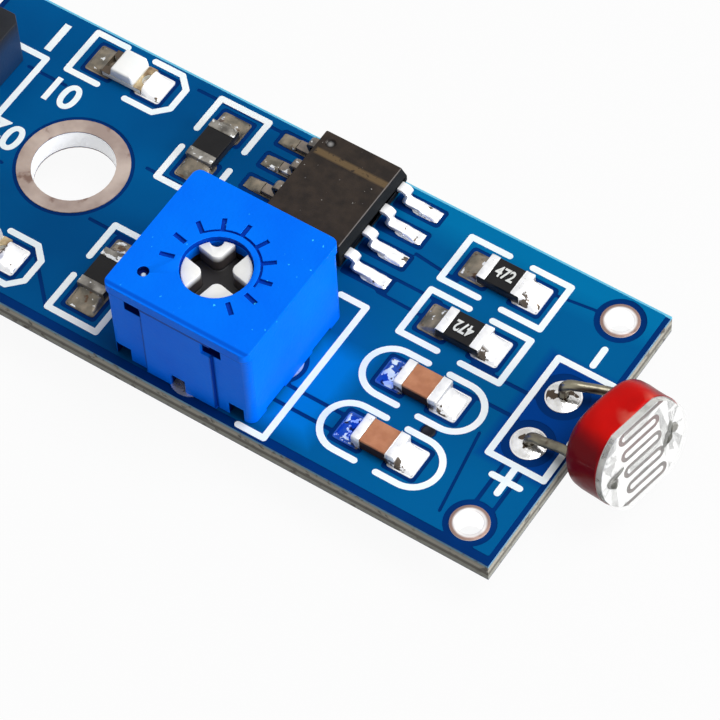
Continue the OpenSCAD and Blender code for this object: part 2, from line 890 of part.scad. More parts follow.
// Ten radial marks and a thin arc sunk round the opening, and a small round mark at a corner
module dial_marks() {
    marks = 10;
    first = 195;
    sweep = 236;
    depth = 0.12;
    inner = rotor_r + rotor_gap + 0.26;
    length = 0.62;
    width = 0.2;
    arc_w = 0.09;
    dot_r = 0.24;
    translate([0, -pot_shift, pot_h - depth]) {
        for (i = [0:marks - 1])
            rotate([0, 0, first - i * sweep / (marks - 1)])
                translate([inner, -width / 2, 0])
                    cube([length, width, 1]);
        linear_extrude(1)
            polygon(concat(
                arc([0, 0], inner + arc_w, 0, 140, 20),
                arc([0, 0], inner - eps, 140, 0, 20)
            ));
    }
    translate([-2.28, -1.95, pot_h - 2 * depth])
        cylinder(r = dot_r, h = 1, $fn = small_fn);
}

// Rotor: head with crossed driver slots in the opening, flange in the cavity. The four
// lobes between the slots have round inner corners, and one has a notch in its rim
module trimmer_rotor() {
    floor_z = rotor_top - slot_depth;
    lobe_round = 0.32;
    notch_r = 0.27;
    half_w = slot_w / 2;
    color([0.95, 0.95, 0.92])
        translate([pot_axis.x, pot_axis.y, land_z])
            rotate([0, 0, slot_turn])
                difference() {
                    union() {
                        translate([0, 0, rotor_z])
                            cylinder(r = flange_r, h = flange_top - rotor_z, $fn = 64);
                        translate([0, 0, rotor_z])
                            cylinder(r = rotor_r, h = rotor_top - rotor_z, $fn = 64);
                    }
                    for (a = [0, 90])
                        rotate([0, 0, a])
                            translate([0, 0, floor_z + 1])
                                cube([2 * rotor_r + 1, slot_w, 2], center = true);
                    for (a = [0:90:270])
                        rotate([0, 0, a])
                            translate([half_w, half_w, floor_z])
                                difference() {
                                    translate([-0.1, -0.1, 0])
                                        cube([lobe_round + 0.1, lobe_round + 0.1, 2]);
                                    translate([lobe_round, lobe_round, -1])
                                        cylinder(r = lobe_round, h = 4, $fn = small_fn);
                                }
                    rotate([0, 0, 135])
                        translate([rotor_r, 0, rotor_top - slot_depth / 2])
                            cylinder(r = notch_r, h = 2, $fn = small_fn);
                }
}

// Springy contact under the rotor: a ring with one finger
module trimmer_wiper() {
    color([0.85, 0.7, 0.4])
        translate([pot_axis.x, pot_axis.y, land_z]) {
            translate([0, 0, rotor_z - wiper_t])
                difference() {
                    cylinder(r = wiper_r, h = wiper_t, $fn = smooth);
                    translate([0, 0, -1])
                        cylinder(r = wiper_hole_r, h = 3, $fn = smooth);
                }
            translate([wiper_hole_r + 0.1, -0.2, wiper_z])
                cube([0.5, 0.4, rotor_z - wiper_t - wiper_z]);
        }
}

// Ceramic plate that carries the resistive ring, drilled for the wires
module trimmer_element() {
    color([0.9, 0.9, 0.87])
        translate([pot_c.x, pot_c.y, land_z + element_z])
            difference() {
                translate([0, 0, plate_t / 2])
                    cube([element_x, element_y, plate_t], center = true);
                pot_wire_bores();
            }
}

module pot_wire_bores() {
    for (a = [90, 0, -90])
        translate([pot_wire_reach * cos(a), pot_wire_reach * sin(a), -3])
            cylinder(d = pot_wire_d, h = 6, $fn = smooth);
}

// Flat rubber ring between the rotor's flange and the housing's roof
module trimmer_seal() {
    color([0.25, 0.12, 0.08])
        translate([pot_axis.x, pot_axis.y, land_z + flange_top + plate_gap])
            difference() {
                cylinder(r = seal_r, h = pot_h - wall_top - flange_top - plate_gap, $fn = smooth);
                translate([0, 0, -1])
                    cylinder(r = rotor_r + rotor_gap, h = 3, $fn = smooth);
            }
}

// Hard filling that closes the housing below the ceramic plate
module trimmer_base() {
    color([0.1, 0.2, 0.45])
        translate([pot_c.x, pot_c.y, land_z + base_z])
            difference() {
                translate([0, 0, (element_z - base_z) / 2])
                    cube([element_x, element_y, element_z - base_z], center = true);
                pot_wire_bores();
            }
}

module trimmer_wires() {
    color([0.8, 0.8, 0.78])
        for (c = pot_holes)
            translate([c.x, c.y, tail_z])
                cylinder(d = pot_wire_d, h = land_z + element_z + plate_t - tail_z, $fn = smooth);
}

// Black strip of the header, notched between the pins
module header_strip() {
    notch = 0.35;
    length = header_pins * header_pitch;
    color([0.05, 0.05, 0.055])
        translate([header_mid.x, header_mid.y, land_z])
            difference() {
                translate([0, 0, header_strip / 2])
                    cube([header_strip, length, header_strip], center = true);
                for (s = [1, -1])
                    for (i = [0:header_pins])
                        translate([s * header_strip / 2, (i - header_pins / 2) * header_pitch, 0])
                            rotate([0, 0, 45])
                                cube([notch * 1.4, notch * 1.4, 20], center = true);
                for (c = header_holes)
                    translate([0, c.y - header_mid.y, 0])
                        cube([pin_w, pin_w, 20], center = true);
            }
}

// Square header pin with a blunt point at each end
module header_pin(i) {
    c = header_holes[i - 1];
    tip = 0.3;
    z1 = land_z + header_strip + pin_up;
    shape = [
        [-pin_w / 4, tail_z], [pin_w / 4, tail_z], [pin_w / 2, tail_z + tip], [pin_w / 2, z1 - tip],
        [pin_w / 4, z1], [-pin_w / 4, z1], [-pin_w / 2, z1 - tip], [-pin_w / 2, tail_z + tip]
    ];
    color([0.82, 0.8, 0.72])
        translate([c.x, c.y, 0])
            intersection() {
                rotate([90, 0, 0])
                    linear_extrude(pin_w, center = true)
                        polygon(shape);
                rotate([90, 0, 90])
                    linear_extrude(pin_w, center = true)
                        polygon(shape);
            }
}

// Solder ramp seen from the side: high at the part's end, hollow towards the land's end
module solder_ramp(run, rise, width) {
    steps = 5;
    translate([0, width / 2, 0])
        rotate([90, 0, 0])
            linear_extrude(width)
                polygon(concat(
                    [[0, 0]],
                    [for (k = [0:steps]) [run * k / steps, 0.04 + (rise - 0.04) * pow(1 - k / steps, 1.7)]],
                    [[run, 0]]
                ));
}

// Solder at both ends of every chip part and at the tip of every comparator lead
module surface_solder() {
    ramp = land_out - chip_part_l / 2 - 0.05;
    color([0.86, 0.86, 0.86]) {
        for (spot = chip_part_spots)
            place_part(spot)
                for (s = [0, 180])
                    rotate([0, 0, s])
                        translate([chip_part_l / 2, 0, 0])
                            solder_ramp(ramp, s == 0 ? 0.42 : 0.3, land_w - 0.1);
        for (i = [0:7])
            lead_frame(i)
                translate([(chip_span - chip_w) / 2, 0, copper_t])
                    solder_ramp(0.75, lead_t * 0.9, 0.5);
    }
}

// Solder cone with a filled barrel round one wire
module solder_joint(c, hole_r, cone_r, rise) {
    translate([c.x, c.y, 0]) {
        translate([0, 0, -copper_t - rise])
            cylinder(r1 = hole_r * 0.8, r2 = cone_r, h = rise, $fn = smooth);
        translate([0, 0, -copper_t])
            cylinder(r = hole_r, h = board_t + 2 * copper_t, $fn = smooth);
    }
}

module through_hole_solder() {
    collar = 0.12;
    color([0.84, 0.84, 0.84]) {
        difference() {
            for (c = cell_holes) {
                solder_joint(c, cell_hole_r, cell_hole_r + wire_ring, 0.6);
                translate([c.x, c.y, land_z])
                    cylinder(r1 = cell_hole_r + wire_ring - 0.06, r2 = cell_hole_r, h = collar, $fn = smooth);
            }
            for (c = cell_holes)
                translate([c.x, c.y, -5])
                    cylinder(d = cell_wire_d, h = 10, $fn = small_fn);
        }
        difference() {
            for (c = pot_holes)
                solder_joint(c, pot_hole_r, pot_hole_r + wire_ring, 0.6);
            for (c = pot_holes)
                translate([c.x, c.y, -5])
                    cylinder(d = pot_wire_d, h = 10, $fn = smooth);
        }
        difference() {
            for (c = header_holes)
                solder_joint(c, pin_hole_r, pin_hole_r + header_ring, 0.6);
            for (c = header_holes)
                translate([c.x, c.y, 0])
                    cube([pin_w, pin_w, 20], center = true);
        }
    }
}

circuit_board();
mounting_hole_rings();
corner_hole_plating(0);  // corner_hole_plating_far
corner_hole_plating(1);  // corner_hole_plating_near
sensor_hole_plating();
header_hole_plating();
trimmer_hole_plating();
solder_lands();
printed_outlines();
comparator_body();
for (i = [1:8])
    comparator_lead(i);
for (i = [1:4]) {
    resistor_body(i);
    resistor_ends(i);
}
for (i = [1:2]) {
    capacitor_body(i);
    capacitor_ends(i);
    lamp_base(i);
    lamp_lens(i);
    lamp_ends(i);
}
photocell_disc();
photocell_electrodes();
photocell_track();
photocell_coating();
photocell_window();
photocell_wire(0);  // photocell_wire_far
photocell_wire(1);  // photocell_wire_near
trimmer_housing();
trimmer_rotor();
trimmer_wiper();
trimmer_element();
trimmer_seal();
trimmer_base();
trimmer_wires();
header_strip();
for (i = [1:header_pins])
    header_pin(i);
surface_solder();
through_hole_solder();
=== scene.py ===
# %% [markdown]
# This lesson dresses a small light sensor module: a blue circuit board with a
# red photocell, a comparator chip, a blue trimmer and a row of chip parts.
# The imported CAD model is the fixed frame. It already has every solid in its
# true place, so each step below adds a finish to a solid, or puts a finer
# piece in the place of a plain one.

# %% Load the frame
import math

import bmesh
import bpy
import numpy as np
from mathutils import Matrix, Vector


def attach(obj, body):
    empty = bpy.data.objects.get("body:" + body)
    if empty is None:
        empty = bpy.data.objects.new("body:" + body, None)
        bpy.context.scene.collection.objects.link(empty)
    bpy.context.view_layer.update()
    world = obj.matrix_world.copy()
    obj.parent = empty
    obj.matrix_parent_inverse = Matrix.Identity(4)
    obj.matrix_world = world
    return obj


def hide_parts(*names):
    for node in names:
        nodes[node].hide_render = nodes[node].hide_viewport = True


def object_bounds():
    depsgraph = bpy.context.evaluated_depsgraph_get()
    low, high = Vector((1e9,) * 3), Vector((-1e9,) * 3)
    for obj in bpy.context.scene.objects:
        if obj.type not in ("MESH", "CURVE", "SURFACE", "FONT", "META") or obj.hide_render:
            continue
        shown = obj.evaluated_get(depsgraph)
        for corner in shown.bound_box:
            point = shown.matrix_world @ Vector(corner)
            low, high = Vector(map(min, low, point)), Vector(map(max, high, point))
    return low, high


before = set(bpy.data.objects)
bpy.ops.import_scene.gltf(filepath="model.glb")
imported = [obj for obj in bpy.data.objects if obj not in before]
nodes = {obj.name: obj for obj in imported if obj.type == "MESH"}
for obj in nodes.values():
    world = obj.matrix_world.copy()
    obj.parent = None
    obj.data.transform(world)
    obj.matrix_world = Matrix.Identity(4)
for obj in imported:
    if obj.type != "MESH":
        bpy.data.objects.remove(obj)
cad_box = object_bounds()
MM = 0.001
print("nodes:", len(nodes), "size in mm:", [round(v / MM, 2) for v in cad_box[1] - cad_box[0]])

# %% [markdown]
# The camera comes first, because everything else is judged through it. The
# photograph is a close view through a long lens, from the sensor end and above.
# A camera matrix is built from three angles, so that its small roll is explicit
# and nothing depends on a tracking constraint.

# %% Camera
TARGET = Vector((15.107, -1.727, 1.0)) * MM
AZIMUTH, ELEVATION, ROLL = (math.radians(a) for a in (36.591, 56.032, -3.766))
DISTANCE = 154.932 * MM

back = Vector((
    math.sin(AZIMUTH) * math.cos(ELEVATION),
    -math.cos(AZIMUTH) * math.cos(ELEVATION),
    math.sin(ELEVATION),
))
level_right = Vector((math.cos(AZIMUTH), math.sin(AZIMUTH), 0))
level_up = back.cross(level_right)
cam_right = math.cos(ROLL) * level_right + math.sin(ROLL) * level_up
cam_up = math.cos(ROLL) * level_up - math.sin(ROLL) * level_right

camera = bpy.data.objects.new("camera", bpy.data.cameras.new("camera"))
bpy.context.scene.collection.objects.link(camera)
camera.matrix_world = Matrix((
    (cam_right.x, cam_up.x, back.x, TARGET.x + back.x * DISTANCE),
    (cam_right.y, cam_up.y, back.y, TARGET.y + back.y * DISTANCE),
    (cam_right.z, cam_up.z, back.z, TARGET.z + back.z * DISTANCE),
    (0, 0, 0, 1),
))
camera.data.sensor_width = 36
camera.data.lens = 197.7
camera.data.clip_start = 0.01
camera.data.clip_end = 20
bpy.context.scene.camera = camera
print("camera at", [round(v / MM, 1) for v in camera.matrix_world.translation], "mm")

# %% [markdown]
# A product photograph of this kind stands on white. The floor is a plain pale
# plane on which the wire tails rest. Seen directly it is white, while the light
# that it throws back on the object stays moderate: the Light Path node tells
# the two apart, so that the white never lights the parts.

# %% Small helpers for node trees
def new_material(name):
    material = bpy.data.materials.new(name)
    material.use_nodes = True
    tree = material.node_tree
    tree.nodes.clear()
    output = tree.nodes.new("ShaderNodeOutputMaterial")
    return material, tree, output


def add_node(tree, kind, **values):
    """A node with its plain properties set by keyword and its sockets by name."""
    node = tree.nodes.new(kind)
    for key, value in values.items():
        if hasattr(node, key):
            setattr(node, key, value)
        else:
            node.inputs[key.replace("_", " ")].default_value = value
    return node


def math_node(tree, operation, first, second, clamp=False):
    """A Math node. Each operand is a socket to link or a plain number."""
    node = add_node(tree, "ShaderNodeMath", operation=operation, use_clamp=clamp)
    for socket, value in zip(node.inputs, (first, second)):
        if isinstance(value, (int, float)):
            socket.default_value = value
        else:
            tree.links.new(value, socket)
    return node.outputs[0]


def sees_white(tree):
    """1 for a ray that shows the background itself, 0 for one that lights."""
    path = tree.nodes.new("ShaderNodeLightPath")
    seen = math_node(tree, "MAXIMUM", path.outputs["Is Camera Ray"], path.outputs["Is Glossy Ray"])
    return math_node(tree, "MAXIMUM", seen, path.outputs["Is Transmission Ray"])


# %% Floor
def make_floor(z, half=1.5):
    mesh = bpy.data.meshes.new("floor")
    corners = [(-half, -half, z), (half, -half, z), (half, half, z), (-half, half, z)]
    mesh.from_pydata(corners, [], [(0, 1, 2, 3)])
    floor = bpy.data.objects.new("floor", mesh)
    bpy.context.scene.collection.objects.link(floor)
    material, tree, output = new_material("pale_floor")
    diffuse = add_node(tree, "ShaderNodeBsdfDiffuse", Color=(0.62, 0.62, 0.62, 1))
    glow = add_node(tree, "ShaderNodeEmission", Color=(1, 1, 1, 1), Strength=1.0)
    share = math_node(tree, "MULTIPLY", sees_white(tree), 0.94)
    mix = tree.nodes.new("ShaderNodeMixShader")
    tree.links.new(share, mix.inputs[0])
    tree.links.new(diffuse.outputs[0], mix.inputs[1])
    tree.links.new(glow.outputs[0], mix.inputs[2])
    tree.links.new(mix.outputs[0], output.inputs["Surface"])
    mesh.materials.append(material)
    return floor


floor = make_floor(cad_box[0].z)
print("floor at", round(floor.data.vertices[0].co.z / MM, 2), "mm")

# %% [markdown]
# The trimmer shows how the photograph is lit: its end face, towards the sensor,
# is brighter than its top, and its long side is in shade. One broad lamp stands
# above and a second one stands low beyond the sensor end. A low lamp hardly
# darkens the board behind the tall parts, and yet it fills every end face.

# %% Lamps and world
def make_lamp(name, direction, distance, size, energy, color=(1, 1, 1)):
    light = bpy.data.lights.new(name, "AREA")
    light.shape = "SQUARE"
    light.size = size
    light.energy = energy
    light.color = color
    lamp = bpy.data.objects.new(name, light)
    bpy.context.scene.collection.objects.link(lamp)
    toward = Vector(direction).normalized()
    lamp.location = Vector((8, 0, 1)) * MM + toward * distance
    lamp.rotation_mode = "QUATERNION"
    lamp.rotation_quaternion = toward.to_track_quat("Z", "Y")
    return lamp


make_lamp("top_lamp", (0.35, 0.22, 0.92), 0.6, 0.34, 2.3)
make_lamp("end_lamp", (0.96, 0.08, 0.22), 0.6, 0.30, 2.9)

world = bpy.data.worlds.new("studio")
bpy.context.scene.world = world
world.use_nodes = True
tree = world.node_tree
tree.nodes.clear()
lighting = add_node(tree, "ShaderNodeBackground", Color=(1, 1, 1, 1), Strength=0.30)
shown = add_node(tree, "ShaderNodeBackground", Color=(1, 1, 1, 1), Strength=1.0)
mix = tree.nodes.new("ShaderNodeMixShader")
world_output = tree.nodes.new("ShaderNodeOutputWorld")
tree.links.new(sees_white(tree), mix.inputs[0])
tree.links.new(lighting.outputs[0], mix.inputs[1])
tree.links.new(shown.outputs[0], mix.inputs[2])
tree.links.new(mix.outputs[0], world_output.inputs["Surface"])
bpy.context.scene.view_settings.view_transform = "Standard"

# %% [markdown]
# No real surface has one flat colour. Every finish here shares one node group:
# a coarse noise that drifts the colour between two tones, and a fine one that
# roughens the surface. The group puts out a colour, a roughness and a height,
# and each material places it with its own colours and scales. The CAD objects
# stand at the origin, so object coordinates are metres and a scale of 1000
# means features about a millimetre across.

# %% Grain group
def start_group(name, inputs, outputs):
    """A shader group with named sockets; it hands back its tree and both ends."""
    group = bpy.data.node_groups.new(name, "ShaderNodeTree")
    for label, kind, value in inputs:
        socket = group.interface.new_socket(name=label, in_out="INPUT", socket_type="NodeSocket" + kind)
        socket.default_value = value
    for label, kind in outputs:
        group.interface.new_socket(name=label, in_out="OUTPUT", socket_type="NodeSocket" + kind)
    return group, group.nodes.new("NodeGroupInput"), group.nodes.new("NodeGroupOutput")


def make_grain_group():
    group, inside, outside = start_group(
        "grain",
        (
            ("Tone A", "Color", (1, 1, 1, 1)),
            ("Tone B", "Color", (0, 0, 0, 1)),
            ("Drift scale", "Float", 800.0),
            ("Fine scale", "Float", 12000.0),
            ("Roughness", "Float", 0.5),
            ("Roughness spread", "Float", 0.1),
        ),
        (("Color", "Color"), ("Roughness", "Float"), ("Height", "Float")),
    )
    place = group.nodes.new("ShaderNodeTexCoord")
    drift = add_node(group, "ShaderNodeTexNoise", Detail=3.0)
    fine = add_node(group, "ShaderNodeTexNoise", Detail=2.0)
    for noise, socket in ((drift, "Drift scale"), (fine, "Fine scale")):
        group.links.new(place.outputs["Object"], noise.inputs["Vector"])
        group.links.new(inside.outputs[socket], noise.inputs["Scale"])
    spread = add_node(group, "ShaderNodeMapRange")
    spread.inputs["From Min"].default_value = 0.35
    spread.inputs["From Max"].default_value = 0.65
    group.links.new(drift.outputs["Fac"], spread.inputs["Value"])
    tones = add_node(group, "ShaderNodeMix", data_type="RGBA")
    group.links.new(spread.outputs["Result"], tones.inputs["Factor"])
    group.links.new(inside.outputs["Tone A"], tones.inputs[6])
    group.links.new(inside.outputs["Tone B"], tones.inputs[7])
    centred = math_node(group, "SUBTRACT", fine.outputs["Fac"], 0.5)
    scaled = math_node(group, "MULTIPLY", centred, inside.outputs["Roughness spread"])
    rough = math_node(group, "ADD", scaled, inside.outputs["Roughness"])
    group.links.new(tones.outputs[2], outside.inputs["Color"])
    group.links.new(rough, outside.inputs["Roughness"])
    group.links.new(fine.outputs["Fac"], outside.inputs["Height"])
    return group


GRAIN = make_grain_group()
print("group sockets:", [s.name for s in GRAIN.interface.items_tree])

# %% [markdown]
# A second colour often sits in one place only: the painted shade on the floor of
# a slot, the raw laminate at a board's edge, a printed stripe. Two more groups
# make masks for that. One is a box with soft sides, the other an upright round
# post, both given in the object's own coordinates, so the paint moves with its
# part. A third makes scattered spots: flux and dust on tin, and also painted
# glints and painted reflections.

# %% Mask groups
def make_box_group():
    group, inside, outside = start_group(
        "box_mask",
        (("Low", "Vector", (0, 0, 0)), ("High", "Vector", (1, 1, 1)), ("Soft", "Float", 0.0001)),
        (("Mask", "Float"),),
    )
    place = group.nodes.new("ShaderNodeTexCoord").outputs["Object"]
    above = add_node(group, "ShaderNodeVectorMath", operation="SUBTRACT")
    below = add_node(group, "ShaderNodeVectorMath", operation="SUBTRACT")
    nearest = add_node(group, "ShaderNodeVectorMath", operation="MINIMUM")
    group.links.new(place, above.inputs[0])
    group.links.new(inside.outputs["Low"], above.inputs[1])
    group.links.new(inside.outputs["High"], below.inputs[0])
    group.links.new(place, below.inputs[1])
    group.links.new(above.outputs[0], nearest.inputs[0])
    group.links.new(below.outputs[0], nearest.inputs[1])
    parts = group.nodes.new("ShaderNodeSeparateXYZ")
    group.links.new(nearest.outputs[0], parts.inputs[0])
    level = math_node(group, "MINIMUM", parts.outputs[0], parts.outputs[1])
    depth = math_node(group, "MINIMUM", level, parts.outputs[2])
    ramp = math_node(group, "DIVIDE", depth, inside.outputs["Soft"])
    group.links.new(math_node(group, "ADD", ramp, 0.5, clamp=True), outside.inputs["Mask"])
    return group


def make_post_group():
    group, inside, outside = start_group(
        "post_mask",
        (("Centre", "Vector", (0, 0, 0)), ("Radius", "Float", 0.001), ("Soft", "Float", 0.0001)),
        (("Mask", "Float"),),
    )
    place = group.nodes.new("ShaderNodeTexCoord").outputs["Object"]
    away = add_node(group, "ShaderNodeVectorMath", operation="SUBTRACT")
    flat = add_node(group, "ShaderNodeVectorMath", operation="MULTIPLY")
    flat.inputs[1].default_value = (1, 1, 0)
    size = add_node(group, "ShaderNodeVectorMath", operation="LENGTH")
    group.links.new(place, away.inputs[0])
    group.links.new(inside.outputs["Centre"], away.inputs[1])
    group.links.new(away.outputs[0], flat.inputs[0])
    group.links.new(flat.outputs[0], size.inputs[0])
    left = math_node(group, "SUBTRACT", inside.outputs["Radius"], size.outputs["Value"])
    ramp = math_node(group, "DIVIDE", left, inside.outputs["Soft"])
    group.links.new(math_node(group, "ADD", ramp, 0.5, clamp=True), outside.inputs["Mask"])
    return group


def make_spot_group():
    group, inside, outside = start_group(
        "spot_mask",
        (("Scale", "Float", 3000.0), ("Level", "Float", 0.62), ("Soft", "Float", 0.03)),
        (("Mask", "Float"),),
    )
    place = group.nodes.new("ShaderNodeTexCoord").outputs["Object"]
    noise = add_node(group, "ShaderNodeTexNoise", Detail=3.0)
    group.links.new(place, noise.inputs["Vector"])
    group.links.new(inside.outputs["Scale"], noise.inputs["Scale"])
    over = math_node(group, "SUBTRACT", noise.outputs["Fac"], inside.outputs["Level"])
    group.links.new(math_node(group, "DIVIDE", over, inside.outputs["Soft"], clamp=True), outside.inputs["Mask"])
    return group


BOX, POST, SPOT = make_box_group(), make_post_group(), make_spot_group()
EVERYWHERE = 100


def box_mask(material, low, high, soft=0.02):
    """A mask for the box between two corners in mm. None leaves a side open."""
    node = material.node_tree.nodes.new("ShaderNodeGroup")
    node.node_tree = BOX
    node.inputs["Low"].default_value = [(-EVERYWHERE if v is None else v) * MM for v in low]
    node.inputs["High"].default_value = [(EVERYWHERE if v is None else v) * MM for v in high]
    node.inputs["Soft"].default_value = soft * MM
    return node.outputs["Mask"]


def post_mask(material, centre, radius, soft=0.02):
    node = material.node_tree.nodes.new("ShaderNodeGroup")
    node.node_tree = POST
    node.inputs["Centre"].default_value = (centre[0] * MM, centre[1] * MM, 0)
    node.inputs["Radius"].default_value = radius * MM
    node.inputs["Soft"].default_value = soft * MM
    return node.outputs["Mask"]


def spot_mask(material, scale, level, soft=0.03):
    node = material.node_tree.nodes.new("ShaderNodeGroup")
    node.node_tree = SPOT
    for socket, value in (("Scale", scale), ("Level", level), ("Soft", soft)):
        node.inputs[socket].default_value = value
    return node.outputs["Mask"]


def both(material, first, second):
    return math_node(material.node_tree, "MULTIPLY", first, second)


def outside_of(material, mask):
    return math_node(material.node_tree, "SUBTRACT", 1.0, mask)


def paint(material, mask, color, target="Base Color"):
    """Lays another colour, or another value, over a finish where the mask is 1."""
    tree = material.node_tree
    socket = tree.nodes["shader"].inputs[target]
    if "Color" in target:
        mix = add_node(tree, "ShaderNodeMix", data_type="RGBA")
        first, second, result = mix.inputs[6], mix.inputs[7], mix.outputs[2]
    else:
        mix = add_node(tree, "ShaderNodeMix", data_type="FLOAT")
        first, second, result = mix.inputs[2], mix.inputs[3], mix.outputs[0]
    tree.links.new(mask, mix.inputs["Factor"])
    if socket.is_linked:
        tree.links.new(socket.links[0].from_socket, first)
    else:
        first.default_value = socket.default_value
    second.default_value = color
    tree.links.new(result, socket)


print("mask groups:", BOX.name, POST.name, SPOT.name)

# %% [markdown]
# Colours are read as the eye reads them, on a scale of 0 to 255, and shaders
# want linear light. One helper turns the first into the second, and a second
# builds a finish round the grain group with a Principled shader.

# %% Finish helper
def facing_mask(material, direction, low, high):
    """1 where the surface looks along a direction, 0 where it looks away."""
    tree = material.node_tree
    coords = add_node(tree, "ShaderNodeTexCoord")
    along = add_node(tree, "ShaderNodeVectorMath", operation="DOT_PRODUCT")
    along.inputs[1].default_value = Vector(direction).normalized()
    tree.links.new(coords.outputs["Normal"], along.inputs[0])
    ramp = add_node(tree, "ShaderNodeMapRange", interpolation_type="SMOOTHSTEP")
    ramp.inputs["From Min"].default_value = low
    ramp.inputs["From Max"].default_value = high
    tree.links.new(along.outputs["Value"], ramp.inputs["Value"])
    return ramp.outputs["Result"]


def rgb(red, green, blue):
    def linear(value):
        value /= 255
        return value / 12.92 if value <= 0.04045 else ((value + 0.055) / 1.055) ** 2.4
    return (linear(red), linear(green), linear(blue), 1.0)


def finish(name, tone_a, tone_b, roughness=0.5, spread=0.1, drift=800, fine=12000, bump=0.0, metallic=0.0,
           specular=0.5, coat=0.0, coat_roughness=0.1, alpha=1.0):
    material, tree, output = new_material(name)
    grain = tree.nodes.new("ShaderNodeGroup")
    grain.node_tree = GRAIN
    for socket, value in (
        ("Tone A", tone_a), ("Tone B", tone_b), ("Drift scale", drift), ("Fine scale", fine),
        ("Roughness", roughness), ("Roughness spread", spread),
    ):
        grain.inputs[socket].default_value = value
    shader = tree.nodes.new("ShaderNodeBsdfPrincipled")
    shader.name = "shader"
    for socket, value in (
        ("Metallic", metallic), ("Specular IOR Level", specular), ("Coat Weight", coat),
        ("Coat Roughness", coat_roughness), ("Alpha", alpha),
    ):
        shader.inputs[socket].default_value = value
    tree.links.new(grain.outputs["Color"], shader.inputs["Base Color"])
    tree.links.new(grain.outputs["Roughness"], shader.inputs["Roughness"])
    if bump:
        relief = add_node(tree, "ShaderNodeBump", Strength=1.0, Distance=bump * MM)
        tree.links.new(grain.outputs["Height"], relief.inputs["Height"])
        tree.links.new(relief.outputs["Normal"], shader.inputs["Normal"])
    tree.links.new(shader.outputs[0], output.inputs["Surface"])
    return material


def dress(material, *names):
    """Gives CAD nodes their material."""
    for name in names:
        mesh = nodes[name].data
        mesh.materials.clear()
        mesh.materials.append(material)


def soften(width, *names, segments=2, angle=35):
    """Rounds a CAD node's sharp edges with modifiers, so its own mesh stays as it is."""
    for name in names:
        mesh = nodes[name].data
        if "custom_normal" in mesh.attributes:
            mesh.attributes.remove(mesh.attributes["custom_normal"])
        mesh.shade_smooth()
        weld = nodes[name].modifiers.new("weld", "WELD")
        weld.merge_threshold = 0.0005 * MM
        if width:
            flat = nodes[name].modifiers.new("join flat triangles", "DECIMATE")
            flat.decimate_type = "DISSOLVE"
            flat.angle_limit = math.radians(0.4)
            bevel = nodes[name].modifiers.new("round edges", "BEVEL")
            bevel.width = width * MM
            bevel.segments = segments
            bevel.limit_method = "ANGLE"
            bevel.angle_limit = math.radians(angle)
            bevel.use_clamp_overlap = False
            nodes[name].modifiers.new("flat faces stay flat", "WEIGHTED_NORMAL")
        else:
            split = nodes[name].modifiers.new("crisp edges", "EDGE_SPLIT")
            split.split_angle = math.radians(angle)


def add_piece(name, mesh, material, body="board", replaces=()):
    """A new mesh piece that rides on a body and may stand for CAD nodes."""
    piece = bpy.data.objects.new(name, mesh)
    bpy.context.scene.collection.objects.link(piece)
    mesh.materials.append(material)
    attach(piece, body)
    if replaces:
        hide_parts(*replaces)
    return piece


print("helpers ready")

# %% [markdown]
# The board is glass laminate. Lacquer covers its two faces, and its cut sides
# show the raw material: a thin blue line of lacquer on top, then grey and brown
# layers of glass and resin. Height decides which is which, so one material with
# masks by height does it. The wall of the mounting hole is pale, and it glows a
# little by emission, a painted light.

# %% Board
BOARD_TOP = 1.0
board_lacquer = finish("gap_lacquer", rgb(0, 52, 118), rgb(0, 44, 104), 0.4, 0.08, 260, 9000, 0.003, specular=0.03)
side = box_mask(board_lacquer, (None, None, 0.03), (None, None, 0.97), 0.02)
layers = (
    (0.03, 0.97, rgb(150, 150, 142)),
    (0.30, 0.50, rgb(108, 104, 96)),
    (0.58, 0.70, rgb(172, 164, 150)),
    (0.86, 0.97, rgb(96, 150, 184)),
)
for low, high, color in layers:
    band = box_mask(board_lacquer, (None, None, low), (None, None, high), 0.02)
    paint(board_lacquer, band, color)
fibre = both(board_lacquer, side, spot_mask(board_lacquer, 2600, 0.57, 0.1))
paint(board_lacquer, fibre, rgb(98, 94, 88))
# A pale cyan line along the far edge is a painted highlight.
far_rim_painted_highlight = box_mask(board_lacquer, (None, 6.38, 0.9), (None, None, None), 0.04)
paint(board_lacquer, far_rim_painted_highlight, rgb(110, 196, 226))
hole_wall = both(board_lacquer, side, post_mask(board_lacquer, (0, 0), 1.79))
paint(board_lacquer, hole_wall, rgb(244, 246, 248))
# The wall also glows by emission, a painted light that keeps it bright.
shader = board_lacquer.node_tree.nodes["shader"]
shader.inputs["Emission Color"].default_value = (0, 0, 0, 1)
shader.inputs["Emission Strength"].default_value = 1.0
paint(board_lacquer, hole_wall, rgb(150, 150, 150), "Emission Color")
dress(board_lacquer, "circuit_board")
print("board layers painted:", len(layers))

# %% [markdown]
# Under the lacquer lies a sheet of copper that fills all the room between the
# tracks and the pads. It stands a little proud, and it makes the lacquer look
# lighter, so that every gap round a pad reads as a dark line. The sheet is drawn
# as a distance field: the smallest distance to any gap, on a fine grid. Where
# the field crosses zero lies the sheet's edge. Those edges become the closed
# lines of a flat curve, and Blender fills the curve and turns it into a mesh.

